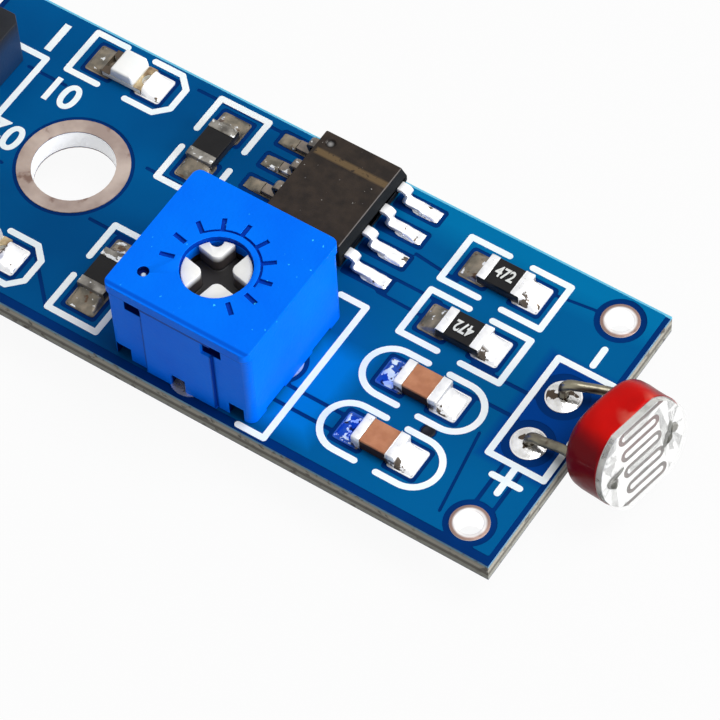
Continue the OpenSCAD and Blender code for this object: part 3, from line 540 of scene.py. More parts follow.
# %% Where the copper stops
LEFT, RIGHT, NEAR, FAR = -7.6, 24.4, -7.0, 6.5
ROW_X, LAMP_X, CROSS_X = 17.98, -0.75, 4.35
ROW_Y = (4.4, 1.4, -1.6, -4.6)
CHIP = (10.25, 3.75)
POT = (10.0, -3.39)
LEAD_PITCH = 1.27
SENSOR_X, SENSOR_HOLES, CORNER_HOLES = 22.78, (1.02, -1.52), (5.25, -5.75)
HEADER_X, HEADER_Y = -6.2, (2.39, -0.15, -2.69)
VIA = (19.18, -3.1)
PART_SPOTS = [(ROW_X, y, 0) for y in ROW_Y]
PART_SPOTS += [(CROSS_X, 3.7, 90), (CROSS_X, -3.85, 90), (LAMP_X, 5.05, 0), (LAMP_X, -5.1, 0)]
LAND_REACH, LAND_HALF = 1.25, (0.6, 0.69)
PAD_GAP = 0.17

pads = []
for x, y, turn in PART_SPOTS:
    for s in (-1, 1):
        if turn:
            pads.append((x, y + s * LAND_REACH, LAND_HALF[1], LAND_HALF[0]))
        else:
            pads.append((x + s * LAND_REACH, y, LAND_HALF[0], LAND_HALF[1]))
for s in (-1, 1):
    for i in range(4):
        pads.append((CHIP[0] + s * 2.9, CHIP[1] + (i - 1.5) * LEAD_PITCH, 0.95, 0.31))

through = [(0, 0, 2.35 + 0.16), (VIA[0], VIA[1], 0.36)]
through += [(SENSOR_X, y, 0.80 + 0.26) for y in CORNER_HOLES]
through += [(SENSOR_X, y, 0.75 + 0.34) for y in SENSOR_HOLES]
through += [(HEADER_X, y, 0.85 + 0.2) for y in HEADER_Y]
through += [(POT[0] + dx, POT[1] + dy, 0.89 + 0.2) for dx, dy in ((0, 2.54), (2.54, 0), (0, -2.54))]

# A gap between two tracks: start, end and half its width
gaps = [
    ((18.9, 0.41), (21.8, 0.41), 0.09), ((18.9, -0.80), (21.8, -0.80), 0.09),
    ((13.9, 2.25), (16.3, 2.25), 0.08), ((13.9, 1.35), (16.3, 1.30), 0.08),
    ((14.2, 3.70), (16.3, 3.47), 0.08), ((13.2, -4.20), (16.3, -4.20), 0.09),
    ((13.2, -5.05), (16.3, -5.05), 0.09), ((22.45, -2.9), (22.45, -5.0), 0.09),
    ((23.25, -2.9), (23.25, -5.0), 0.09), ((19.7, 4.9), (22.0, 5.2), 0.07),
    ((6.2, 5.9), (2.1, 5.9), 0.08), ((6.6, 2.4), (5.6, 1.5), 0.08), ((5.6, 1.5), (2.6, 1.5), 0.08),
    ((2.1, -1.8), (5.9, -1.8), 0.08), ((-2.7, 3.2), (-4.6, 3.2), 0.08), ((-4.6, -1.4), (-2.6, -1.4), 0.08),
    ((20.9, -2.1), (21.5, -5.9), 0.07), ((1.0, -4.1), (3.2, -6.3), 0.08),
]
print("pads:", len(pads), "holes:", len(through), "gaps:", len(gaps))


# %% Distance field and its zero line
def pour_field(x, y, with_pads):
    edge = np.minimum.reduce([x - LEFT - 0.25, RIGHT - 0.22 - x, y - NEAR - 0.38, FAR - 0.1 - y])
    field = edge
    for cx, cy, r in through:
        field = np.minimum(field, np.hypot(x - cx, y - cy) - r)
    if not with_pads:
        return field
    for cx, cy, hx, hy in pads:
        dx, dy = np.abs(x - cx) - hx, np.abs(y - cy) - hy
        outside = np.hypot(np.maximum(dx, 0), np.maximum(dy, 0)) + np.minimum(np.maximum(dx, dy), 0)
        field = np.minimum(field, outside - PAD_GAP)
    for (ax, ay), (bx, by), half in gaps:
        ux, uy = bx - ax, by - ay
        t = np.clip(((x - ax) * ux + (y - ay) * uy) / (ux * ux + uy * uy), 0, 1)
        field = np.minimum(field, np.hypot(x - ax - t * ux, y - ay - t * uy) - half)
    return field


def zero_lines(field, xs, ys):
    """Closed lines where a field on a grid crosses zero (marching squares)."""
    inside = field > 0
    ahead = {}

    def crossing(i0, j0, i1, j1):
        a, b = field[i0, j0], field[i1, j1]
        t = a / (a - b)
        point = (xs[i0] + t * (xs[i1] - xs[i0]), ys[j0] + t * (ys[j1] - ys[j0]))
        return (i0, j0, i1, j1), point

    points = {}
    mixed = inside[:-1, :-1].astype(int) + inside[1:, :-1] + inside[1:, 1:] + inside[:-1, 1:]
    for i, j in np.argwhere((mixed > 0) & (mixed < 4)):
        corners = [(i, j), (i + 1, j), (i + 1, j + 1), (i, j + 1)]
        ins, outs = [], []
        for k in range(4):
            a, b = corners[k], corners[(k + 1) % 4]
            if inside[a] != inside[b]:
                first, last = min(a, b), max(a, b)
                key, point = crossing(*first, *last)
                points[key] = point
                (outs if inside[a] else ins).append(key)
        for start, end in zip(ins, outs if len(outs) == 1 else outs[::-1]):
            ahead[start] = end
    loops = []
    while ahead:
        start, here = ahead.popitem()
        loop = [points[start]]
        while here != start:
            loop.append(points[here])
            here = ahead.pop(here)
        loops.append(loop)
    return loops


def thin_out(loop, tolerance=0.004):
    """Drops the points of a closed line that lie on the straight between their neighbours."""
    kept = [np.array(loop[0])]
    for k in range(1, len(loop)):
        here, after = np.array(loop[k]), np.array(loop[(k + 1) % len(loop)])
        run = after - kept[-1]
        cross = run[0] * (here - kept[-1])[1] - run[1] * (here - kept[-1])[0]
        away = abs(cross) / (np.hypot(*run) + 1e-9)
        if away > tolerance or np.hypot(*(here - kept[-1])) > 1.0:
            kept.append(here)
    return kept


def sheet_mesh(name, loops, z, thickness):
    curve = bpy.data.curves.new(name, "CURVE")
    curve.dimensions = "2D"
    curve.fill_mode = "BOTH"
    curve.extrude = thickness / 2 * MM
    for loop in loops:
        points = thin_out(loop)
        if len(points) < 3:
            continue
        spline = curve.splines.new("POLY")
        spline.points.add(len(points) - 1)
        for target, (x, y) in zip(spline.points, points):
            target.co = (x * MM, y * MM, 0, 1)
        spline.use_cyclic_u = True
    carrier = bpy.data.objects.new(name, curve)
    bpy.context.scene.collection.objects.link(carrier)
    bpy.context.view_layer.update()
    mesh = bpy.data.meshes.new_from_object(carrier.evaluated_get(bpy.context.evaluated_depsgraph_get()))
    mesh.transform(Matrix.Translation((0, 0, z * MM)))
    bpy.data.objects.remove(carrier)
    return mesh


GRID = 0.07
POUR_T = 0.018
xs, ys = np.arange(LEFT, RIGHT + GRID, GRID), np.arange(NEAR, FAR + GRID, GRID)
grid_x, grid_y = np.meshgrid(xs, ys, indexing="ij")
pour_lacquer = finish("pour_lacquer", rgb(0, 88, 148), rgb(0, 76, 134), 0.36, 0.08, 170, 9000, 0.003, specular=0.03)
# The pour is painted lighter on the sensor half and along the far edge: painted light.
sensor_half_painted_light = box_mask(pour_lacquer, (15.0, None, 0.5), (None, None, None), 3.0)
paint(pour_lacquer, sensor_half_painted_light, rgb(0, 96, 152))
far_edge_painted_light = box_mask(pour_lacquer, (8.0, 5.2, 0.5), (None, None, None), 1.6)
paint(pour_lacquer, far_edge_painted_light, rgb(0, 116, 170))
# Beside the trimmer the pour is painted bright blue, a painted reflection of the trimmer's side.
trimmer_painted_reflection = box_mask(pour_lacquer, (13.3, -6.0, 0.5), (15.4, -1.6, None), 0.9)
paint(pour_lacquer, trimmer_painted_reflection, rgb(0, 118, 196))
# Round the photocell's holes the pour is painted darker, a painted shade under the cell and its wires.
photocell_painted_shade = box_mask(pour_lacquer, (21.3, -2.9, 0.5), (None, 2.6, None), 0.5)
paint(pour_lacquer, photocell_painted_shade, rgb(0, 62, 142))
for name, with_pads, z in (("copper_pour_top", True, BOARD_TOP + POUR_T / 2), ("copper_pour_under", False, -POUR_T / 2)):
    loops = zero_lines(pour_field(grid_x, grid_y, with_pads), xs, ys)
    pour = add_piece(name, sheet_mesh(name, loops, z, POUR_T), pour_lacquer)
    print(name, "loops:", len(loops), "faces:", len(pour.data.polygons))

# %% [markdown]
# White ink marks the outlines of the parts, and it is thick enough to cover the
# blue. The signs beside the photocell and the numbers beside the header are ink
# as well. A sign is a bar with round ends, and a number is a text object with a
# very small thickness, laid on the board.

# %% Ink
INK_TOP, INK_W, LAND_Z = 1.03, 0.28, 1.04
ink = finish("white_ink", rgb(252, 255, 255), rgb(240, 251, 255), 0.6, 0.1, 900, 9000, 0.004, specular=0.2)
dress(ink, "printed_outlines")


def bar(bm, a, b, width, bottom, top, steps=8):
    """A flat bar from a to b with round ends."""
    a, b = Vector(a), Vector(b)
    lean = math.atan2(b.y - a.y, b.x - a.x)
    outline = []
    for end, first in ((b, lean - math.pi / 2), (a, lean + math.pi / 2)):
        for k in range(steps + 1):
            angle = first + math.pi * k / steps
            outline.append((end.x + width / 2 * math.cos(angle), end.y + width / 2 * math.sin(angle)))
    plate(bm, outline, bottom, top)


def rounded_plate(bm, centre, half, corner, bottom, top, steps=5):
    """A flat rectangle with round corners."""
    outline = []
    for k, (sx, sy) in enumerate(((1, 1), (-1, 1), (-1, -1), (1, -1))):
        for i in range(steps + 1):
            angle = math.pi / 2 * (k + i / steps)
            x = centre[0] + sx * (half[0] - corner) + corner * math.cos(angle)
            outline.append((x, centre[1] + sy * (half[1] - corner) + corner * math.sin(angle)))
    plate(bm, outline, bottom, top)


def plate(bm, outline, bottom, top):
    upper = [bm.verts.new((x * MM, y * MM, top * MM)) for x, y in outline]
    lower = [bm.verts.new((x * MM, y * MM, bottom * MM)) for x, y in outline]
    bm.faces.new(upper)
    bm.faces.new(lower[::-1])
    for k in range(len(outline)):
        n = (k + 1) % len(outline)
        bm.faces.new((lower[k], lower[n], upper[n], upper[k]))


def mesh_of(name, bm):
    mesh = bpy.data.meshes.new(name)
    bm.to_mesh(mesh)
    bm.free()
    return mesh


bm = bmesh.new()
bar(bm, (22.33, -3.45), (23.57, -3.45), INK_W, BOARD_TOP, INK_TOP)
bar(bm, (22.95, -4.07), (22.95, -2.83), INK_W, BOARD_TOP, INK_TOP + 0.002)
bar(bm, (22.98, 2.87), (22.98, 3.76), INK_W, BOARD_TOP, INK_TOP)
add_piece("sign_marks", mesh_of("sign_marks", bm), ink)


def number(name, digits, x, y, z, turn, size, material, stretch=1.0, bold=0.0, thickness=0.014):
    font = bpy.data.curves.new(name, "FONT")
    font.body = digits
    font.size = size * MM
    font.extrude = thickness / 2 * MM
    font.offset = bold * MM
    font.align_x, font.align_y = "CENTER", "CENTER"
    carrier = bpy.data.objects.new(name, font)
    bpy.context.scene.collection.objects.link(carrier)
    bpy.context.view_layer.update()
    mesh = bpy.data.meshes.new_from_object(carrier.evaluated_get(bpy.context.evaluated_depsgraph_get()))
    bpy.data.objects.remove(carrier)
    place = Matrix.Translation(Vector((x, y, z)) * MM) @ Matrix.Rotation(math.radians(turn), 4, "Z")
    mesh.transform(place @ Matrix.Diagonal((1, stretch, 1, 1)))
    mesh.materials.clear()
    return add_piece(name, mesh, material)


for digits, x, y in (("01", -2.65, 2.85), ("02", -3.40, -0.1), ("03", -3.15, -2.9)):
    label = number("pin_label_" + digits, digits, x, y, 1.026, 180, 1.75, ink, bold=0.045)
    print(label.name, "faces:", len(label.data.polygons))
number("pin_one_label", "1", -4.45, 5.15, 1.026, 180, 2.1, ink, bold=0.06)

# %% [markdown]
# Holes. The rings are tinned copper. The one round the mounting hole is large,
# dull and a little pink, because its tin is thin. The walls inside the corner
# holes glow a little, a painted light. A nearly black filling stands in the small
# via by the capacitors, a painted shade for the dark of its open hole.

# %% Rings, lands and the via
tin = finish("tinned_copper", rgb(246, 246, 246), rgb(214, 212, 210), 0.3, 0.2, 1500, 5000, 0.006, metallic=0.75)
dull_tin = finish("dull_tinned_ring", rgb(196, 180, 170), rgb(160, 142, 134), 0.5, 0.2, 700, 5000, 0.008,
                  metallic=0.35, specular=0.3)
paint(dull_tin, spot_mask(dull_tin, 1300, 0.6, 0.08), rgb(128, 104, 94))
dress(tin, "sensor_hole_plating", "header_hole_plating", "trimmer_hole_plating")
corner_tin = finish("corner_ring_tin", rgb(250, 250, 250), rgb(232, 228, 226), 0.35, 0.2, 1500, 5000, 0.006,
                    metallic=0.35, specular=0.4)
for y in CORNER_HOLES:
    rim = post_mask(corner_tin, (SENSOR_X, y), 0.66, 0.08)
    top_side = box_mask(corner_tin, (SENSOR_X - 2, y - 2, 0.9), (SENSOR_X + 2, y + 2, None), 0.05)
    paint(corner_tin, both(corner_tin, top_side, outside_of(corner_tin, rim)), rgb(150, 122, 112))
shader = corner_tin.node_tree.nodes["shader"]
shader.inputs["Emission Color"].default_value = (0, 0, 0, 1)
shader.inputs["Emission Strength"].default_value = 1.0
# Inside the corner holes the walls glow by emission, a painted light.
not_up = outside_of(corner_tin, facing_mask(corner_tin, (0, 0, 1), 0.3, 0.8))
hole_wall_painted_glow = both(corner_tin, not_up, outside_of(corner_tin, facing_mask(corner_tin, (0, 0, -1), 0.3, 0.8)))
paint(corner_tin, hole_wall_painted_glow, rgb(186, 186, 186), "Emission Color")
dress(corner_tin, "corner_hole_plating_far", "corner_hole_plating_near")
dress(dull_tin, "mounting_hole_rings")
soften(0.015, "corner_hole_plating_far", "corner_hole_plating_near", "sensor_hole_plating")

land_bright = finish("land_tin_bright", rgb(252, 252, 252), rgb(238, 238, 240), 0.3, 0.15, 1500, 5000, 0.006,
                     metallic=0.3, specular=0.4)
# The lands away from the sensor get a darker, browner copy of the tin: painted shade, and the brown of flux.
land_shaded = finish("land_tin_shaded", rgb(150, 138, 120), rgb(70, 66, 62), 0.4, 0.2, 1700, 5000, 0.01, metallic=0.4)
# Near the trimmer these lands carry a painted reflection of its blue side.
paint(land_shaded, box_mask(land_shaded, (15.0, -6.0, None), (17.2, -0.6, None), 0.1), rgb(24, 84, 176))
light_lands, dark_lands = bmesh.new(), bmesh.new()
for x, y, turn in PART_SPOTS:
    for s in (-1, 1):
        centre = (x, y + s * LAND_REACH) if turn else (x + s * LAND_REACH, y)
        half = (LAND_HALF[1], LAND_HALF[0]) if turn else LAND_HALF
        rounded_plate(light_lands if s == 1 and not turn else dark_lands, centre, half, 0.12, BOARD_TOP, LAND_Z)
for s in (-1, 1):
    for i in range(4):
        x, y = CHIP[0] + s * 2.9, CHIP[1] + (i - 1.5) * LEAD_PITCH
        start = x - 0.05 if s == 1 else x - 0.62
        bar(light_lands if s == 1 else dark_lands, (start, y), (x + 0.62, y), 0.62, BOARD_TOP, LAND_Z, 10)
add_piece("lands_bright", mesh_of("lands_bright", light_lands), land_bright, replaces=("solder_lands",))
add_piece("lands_shaded", mesh_of("lands_shaded", dark_lands), land_shaded)

via_shade_black = finish("via_painted_shade", rgb(6, 10, 26), rgb(3, 6, 18), 0.4, 0.1, 900, specular=0.2)
# The nearly black filling is painted shade for the dark of the open via.
bm = bmesh.new()
for radius, z in ((0.19, -0.01), (0.19, 1.0), (0.30, 1.0), (0.28, 1.02), (0.2, 1.012), (0.08, 0.98)):
    ring = [
        bm.verts.new(((VIA[0] + radius * math.cos(a)) * MM, (VIA[1] + radius * math.sin(a)) * MM, z * MM))
        for a in np.linspace(0, 2 * math.pi, 24, endpoint=False)
    ]
    if z < 0:
        bm.faces.new(ring[::-1])
    else:
        for k in range(24):
            bm.faces.new((last[k], last[(k + 1) % 24], ring[(k + 1) % 24], ring[k]))
    last = ring
bm.faces.new(ring)
via_shade_fill = add_piece("via_painted_shade", mesh_of("via_painted_shade", bm), via_shade_black)
via_shade_fill.data.shade_smooth()
print("via plug faces:", len(via_shade_fill.data.polygons))

# %% [markdown]
# Solder wets both the metal end of a part and the land beside it, and freezes
# in a hollow slope between them. A CAD ramp has that slope but flat sides. Here
# each fillet is a fine grid: hollow along the land, round across it, with a
# little seeded waviness, closed down to the land. The fillets on the sensor
# side are painted bright, as they mirror the lamps, and those on the header side
# are a darker copy, painted shade, with brown flux flecks and painted glints.

# %% Solder fillets
rng = np.random.default_rng(7)


def fillet(bm, place, run, rise, width, across=14, along=14):
    """A closed fillet. Its own X runs from the part's end along the land, Z up."""
    phase = rng.uniform(0, 6.3, 4)
    lean = rng.uniform(-0.12, 0.12)
    rows = []
    for i in range(along + 1):
        u = i / along
        row = []
        for j in range(across + 1):
            v = 2 * j / across - 1
            edge = (1 - abs(v) ** 5) ** 0.5
            tip = (1 - max(0.0, (u - 0.8) / 0.2) ** 3) ** 0.5
            height = 0.06 + (rise - 0.06) * (1 - u) ** 1.8 * (1 + lean * v)
            wave = 0.018 * math.sin(7 * u + phase[0] + 2.5 * v) + 0.014 * math.sin(5 * v + phase[1] - 3 * u)
            y = v * width / 2 * (1 - 0.06 * u ** 4)
            z = max((height + wave * min(1, 6 * u)) * edge * tip, 0.0)
            row.append(bm.verts.new(place @ Vector((u * run, y, z))))
        rows.append(row)
    for i in range(along):
        for j in range(across):
            bm.faces.new((rows[i][j], rows[i + 1][j], rows[i + 1][j + 1], rows[i][j + 1]))
    heel = [bm.verts.new(place @ Vector((0, (2 * j / across - 1) * width / 2, 0))) for j in range(1, across)]
    heel = [rows[0][0]] + heel + [rows[0][-1]]
    for j in range(across):
        corners = [heel[j], rows[0][j], rows[0][j + 1], heel[j + 1]]
        unique = [v for k, v in enumerate(corners) if v not in corners[:k]]
        bm.faces.new(unique)
    rim = [rows[i][0] for i in range(along + 1)] + rows[along][1:] + [rows[i][-1] for i in range(along - 1, -1, -1)]
    bm.faces.new(rim + heel[-2:0:-1])


def spot_matrix(x, y, turn):
    scale = Matrix.Diagonal((MM, MM, MM, 1))
    return scale @ Matrix.Translation((x, y, LAND_Z)) @ Matrix.Rotation(math.radians(turn), 4, "Z")


PART_HALF, FILLET_RUN, FILLET_W = 1.0, 0.80, 1.28
TOE_X = 3.0
bright, shaded_fillets = bmesh.new(), bmesh.new()
for x, y, turn in PART_SPOTS:
    for s in (0, 180):
        place = spot_matrix(x, y, turn + s) @ Matrix.Translation((PART_HALF, 0, 0))
        shiny = s == 0 and not turn
        fillet(bright if shiny else shaded_fillets, place, FILLET_RUN, 0.43 if s == 0 else 0.30, FILLET_W)
for s in (0, 180):
    for i in range(4):
        place = spot_matrix(CHIP[0], CHIP[1], s) @ Matrix.Translation((TOE_X, (i - 1.5) * LEAD_PITCH, 0))
        fillet(bright if s == 0 else shaded_fillets, place, 0.84, 0.22, 0.60, 12, 12)

solder = finish("bright_solder", rgb(252, 252, 252), rgb(236, 236, 238), 0.25, 0.15, 2200, 4000, 0.012, metallic=0.55,
                specular=0.6)
paint(solder, spot_mask(solder, 2300, 0.64, 0.02), rgb(96, 84, 72))
# On the near corners of the row's bright fillets, dark spots are painted reflections of dark parts.
for y in ROW_Y:
    corner = box_mask(solder, (ROW_X + 0.95, y - 0.75, None), (ROW_X + 1.45, y - 0.25, None), 0.15)
    paint(solder, both(solder, corner, spot_mask(solder, 2700, 0.47, 0.03)), rgb(84, 74, 64))
shaded_solder = finish("shaded_solder", rgb(150, 138, 120), rgb(92, 88, 78), 0.35, 0.2, 1700, 4000, 0.03, metallic=0.5,
                     specular=0.5)
# White spots on the shaded copy are painted glints; the brown ones on the next line are flux.
paint(shaded_solder, spot_mask(shaded_solder, 2500, 0.62, 0.02), rgb(236, 238, 240))
paint(shaded_solder, spot_mask(shaded_solder, 1900, 0.60, 0.05), rgb(88, 64, 44))
# The two lower lands of the row get a painted reflection of the trimmer's blue side, with painted white glints and dark
# reflections in it
blue_side = box_mask(shaded_solder, (15.0, -6.0, None), (17.2, -0.6, None), 0.1)
paint(shaded_solder, blue_side, rgb(8, 78, 178))
paint(shaded_solder, both(shaded_solder, blue_side, spot_mask(shaded_solder, 2600, 0.50, 0.03)), rgb(226, 240, 255))
paint(shaded_solder, both(shaded_solder, blue_side, spot_mask(shaded_solder, 3300, 0.57, 0.03)), rgb(20, 24, 60))
for name, bm, material, stands_for in (
    ("solder_fillets_bright", bright, solder, ("surface_solder",)),
    ("solder_fillets_shaded", shaded_fillets, shaded_solder, ()),
):
    bmesh.ops.recalc_face_normals(bm, faces=bm.faces)
    piece = add_piece(name, mesh_of(name, bm), material, replaces=stands_for)
    piece.data.shade_smooth()
    piece.data.set_sharp_from_angle(angle=math.radians(50))
    print(name, "faces:", len(piece.data.polygons))

joint_solder = finish("joint_solder", rgb(250, 250, 250), rgb(206, 204, 200), 0.22, 0.2, 2200, 4000, 0.03, metallic=0.7)
paint(joint_solder, spot_mask(joint_solder, 2100, 0.58, 0.03), rgb(74, 62, 50))
dress(joint_solder, "through_hole_solder")
soften(0, "through_hole_solder")

# %% [markdown]
# The comparator is moulded from black resin with fine silica in it, so its top
# is matt and slightly brown, while its sides are painted darker, a painted shade.
# Its edges are a little round, and the edge towards the sensor has a painted
# highlight. A pale stripe marks the pin-one end, and pale specks on the top are
# painted glints of silica grains. The leads are bent tin-plated strips. The row
# by the sensor is painted bright; the far row is in shade, a darker copy of the
# tin with painted glints.

# %% Comparator
chip_resin = finish("chip_resin", rgb(58, 50, 44), rgb(44, 39, 36), 0.62, 0.15, 1800, 16000, 0.006, specular=0.08)
CHIP_TOP = 2.57
top_face = box_mask(chip_resin, (None, None, CHIP_TOP - 0.05), (None, None, None), 0.02)
stripe = box_mask(chip_resin, (8.62, 4.83, CHIP_TOP - 0.05), (12.02, 5.13, None), 0.1)
# The sides are painted darker than the top, a painted shade.
paint(chip_resin, outside_of(chip_resin, top_face), rgb(22, 25, 28))
paint(chip_resin, both(chip_resin, stripe, outside_of(chip_resin, spot_mask(chip_resin, 5200, 0.60, 0.08))),
      rgb(104, 86, 62))
# Pale specks on the top are painted glints of silica grains.
paint(chip_resin, both(chip_resin, top_face, spot_mask(chip_resin, 5200, 0.735, 0.02)), rgb(150, 146, 140))
paint(chip_resin, post_mask(chip_resin, (8.95, 5.55), 0.10, 0.12), rgb(150, 148, 146))
# The rounded edge that faces the sensor and up gets a painted highlight.
paint(chip_resin, facing_mask(chip_resin, (1, 0, 1), 0.93, 0.99), rgb(104, 100, 98))
dress(chip_resin, "comparator_body")
soften(0.06, "comparator_body", segments=3)

lead_bright = finish("lead_tin_bright", rgb(252, 252, 252), rgb(238, 238, 240), 0.3, 0.15, 1600, 5000, 0.004,
                     metallic=0.4, specular=0.5)
# The far row gets a darker copy of the lead tin, a painted shade; its white spots are painted glints.
lead_shaded = finish("lead_tin_shaded", rgb(140, 128, 116), rgb(84, 82, 80), 0.35, 0.2, 1400, 5000, 0.006, metallic=0.6)
paint(lead_shaded, spot_mask(lead_shaded, 2100, 0.6, 0.03), rgb(228, 230, 232))
lead_names = [f"comparator_lead_{i}" for i in range(1, 9)]
dress(lead_bright, *lead_names[:4], "trimmer_wires")
dress(lead_shaded, *lead_names[4:])
soften(0.035, *lead_names)
print("leads:", len(lead_names))

# %% [markdown]
# Chip resistors are ceramic blocks with black glaze and printed digits. The
# digits here are plain and the same on both. Chip capacitors are bare brown
# ceramic with tin caps, and both have clearly round edges and corners.

# %% Resistors and capacitors
glaze = finish("resistor_glaze", rgb(20, 19, 20), rgb(12, 11, 13), 0.35, 0.1, 1500, 9000, 0.006, specular=0.2)
RESISTOR_TOP = 1.56
low_side = box_mask(glaze, (None, None, None), (None, None, RESISTOR_TOP - 0.16), 0.06)
paint(glaze, low_side, rgb(44, 46, 50))
end_bright = finish("end_metal", rgb(252, 252, 252), rgb(232, 232, 232), 0.3, 0.15, 2500, 6000, 0.006, metallic=0.4,
                    specular=0.5)
shaded = box_mask(end_bright, (None, None, None), (None, None, LAND_Z + 0.36), 0.08)
paint(end_bright, both(end_bright, shaded, spot_mask(end_bright, 2600, 0.46, 0.05)), rgb(92, 84, 76))
# Resistors 3 and 4 get a darker copy of the end metal, a painted shade, and its white spots are painted glints.
end_shaded = finish("end_metal_shaded", rgb(150, 146, 138), rgb(88, 84, 78), 0.35, 0.2, 2100, 6000, 0.01, metallic=0.5)
paint(end_shaded, spot_mask(end_shaded, 2900, 0.6, 0.03), rgb(226, 228, 228))
cap_ceramic = finish("capacitor_ceramic", rgb(196, 134, 98), rgb(180, 118, 84), 0.5, 0.1, 2200, 12000, 0.006,
                     specular=0.2)
CAP_TOP = 1.69
# The lower sides of the capacitors are painted dark brown, a painted shade.
cap_side_shade = box_mask(cap_ceramic, (None, None, None), (None, None, CAP_TOP - 0.12), 0.06)
paint(cap_ceramic, cap_side_shade, rgb(40, 26, 20))
dress(glaze, *[f"resistor_{i}_body" for i in range(1, 5)])
dress(end_bright, "resistor_1_ends", "resistor_2_ends", "capacitor_1_ends", "capacitor_2_ends")
dress(end_shaded, "resistor_3_ends", "resistor_4_ends")
dress(cap_ceramic, "capacitor_1_body", "capacitor_2_body")
soften(0.03, *[f"resistor_{i}_ends" for i in range(1, 5)])
soften(0.02, *[f"resistor_{i}_body" for i in range(1, 5)])
soften(0.045, "capacitor_1_ends", "capacitor_2_ends", "capacitor_1_body", "capacitor_2_body", segments=3)

digit_ink = finish("digit_ink", rgb(238, 240, 236), rgb(214, 216, 212), 0.6, 0.1, 1500, specular=0.2)
for i, turn in ((1, 0), (2, 180)):
    number(f"resistor_{i}_digits", "472", ROW_X - 0.02, ROW_Y[i - 1], RESISTOR_TOP + 0.004, turn, 0.56, digit_ink,
           stretch=1.35, bold=0.014, thickness=0.01)
print("digits on the two resistors of the row")

# %% [markdown]
# An indicator lamp is a white base with gold-coloured ends and a clear lens. The
# lens is moulded, so its edges are round and it looks milky from outside. In the
# photograph it shines white, with its end in shade, so the resin stays pale.

# %% Indicator lamps
lamp_white = finish("lamp_base", rgb(244, 244, 236), rgb(226, 224, 214), 0.5, 0.1, 1200, 9000, 0.005)
lens = finish("lamp_lens", rgb(255, 255, 253), rgb(246, 250, 250), 0.12, 0.05, 900, 3000, specular=0.5, coat=0.5)
lamp_gold = finish("lamp_ends", rgb(210, 190, 150), rgb(120, 96, 72), 0.35, 0.15, 2000, 5000, 0.005, metallic=0.6)
# The end away from the sensor is painted darker, a painted shade.
paint(lamp_gold, box_mask(lamp_gold, (None, None, None), (LAMP_X, None, None), 0.1), rgb(84, 72, 60))
dress(lamp_white, "lamp_1_base", "lamp_2_base")
dress(lens, "lamp_1_lens", "lamp_2_lens")
dress(lamp_gold, "lamp_1_ends", "lamp_2_ends")
soften(0.09, "lamp_1_lens", "lamp_2_lens", segments=4)
soften(0.02, "lamp_1_base", "lamp_2_base")
print("lamps dressed")

# %% [markdown]
# The photocell is a ceramic disc with two flats. Its back and rim are dipped in
# red lacquer, which gathers in soft thick shapes, so the plain CAD cup is
# replaced. The new cup is a ring of points pulled through the cup's profile: the
# outline blends a circle with two flats by a power mean, which rounds their
# corners, and slow seeded waves move it by hundredths of a millimetre.

# %% Photocell: red coating
CELL_FACE, CELL_YAW, CELL_TILT = Vector((27.08, -0.20, 2.10)), math.radians(11), math.radians(10)
cell_turn = Matrix.Rotation(-CELL_YAW, 4, "Z") @ Matrix.Rotation(-CELL_TILT, 4, "Y")
axes = Matrix(((0, 0, 1, 0), (1, 0, 0, 0), (0, 1, 0, 0), (0, 0, 0, 1)))
CELL = Matrix.Diagonal((MM, MM, MM, 1)) @ Matrix.Translation(CELL_FACE) @ cell_turn @ axes
CELL_R, CELL_FLAT, CELL_DEPTH, RIM_BACK = 2.4, 2.1, 2.1, 0.26
DISC_R, DISC_FLAT = 2.3, 2.0


def flat_sided(angle, radius, flat, power):
    """Radius of a circle with two flats; a high power keeps the corners crisp."""
    reach = flat / max(abs(math.sin(angle)), 1e-6)
    return (radius ** -power + reach ** -power) ** (-1 / power)


def coating_mesh(sides=128):
    profile = [(-0.05, -0.32, 0), (0.03, -0.27, 0), (0.005, -0.30, 1), (0, -0.5, 1), (0.0, -0.9, 1), (0.01, -1.3, 1)]
    profile = [(-0.095, -1.2, 0), (-0.095, -0.36, 0), (-0.06, -0.27, 0)] + profile[2:]
    round_r = 0.55
    for k in range(1, 9):
        a = math.pi / 2 * k / 8
        profile.append((round_r * (math.cos(a) - 1), -CELL_DEPTH + round_r * (1 - math.sin(a)), 1))
    profile += [(-1.1, -CELL_DEPTH, 0.5), (-1.8, -CELL_DEPTH, 0.2)]
    bm = bmesh.new()
    rings = []
    for grow, depth, share in profile:
        ring = []
        for k in range(sides):
            angle = 2 * math.pi * k / sides
            wave = 0.016 * math.sin(3 * angle + 2.1 * depth + 0.6) + 0.012 * math.sin(5 * angle - 3.3 * depth)
            power = 30 if depth > -1.4 else 30 - 22 * (-1.4 - depth) / 0.7
            r = flat_sided(angle, CELL_R, CELL_FLAT, power) + grow + share * (wave - 0.028)
            droop = 0.03 * math.sin(2 * angle + 0.8) if depth > -0.4 and share else 0
            ring.append(bm.verts.new(CELL @ Vector((r * math.cos(angle), r * math.sin(angle), depth + droop))))
        rings.append(ring)
    for first, second in zip(rings, rings[1:]):
        for k in range(sides):
            n = (k + 1) % sides
            bm.faces.new((first[k], first[n], second[n], second[k]))
    bm.faces.new(rings[-1])
    bm.faces.new(rings[0][::-1])
    bmesh.ops.recalc_face_normals(bm, faces=bm.faces)
    return mesh_of("red_coating_cup", bm)


red = finish("red_coating", rgb(216, 14, 8), rgb(196, 6, 4), 0.3, 0.08, 420, 900, 0.05, specular=0.06, coat=0.06,
             coat_roughness=0.1)
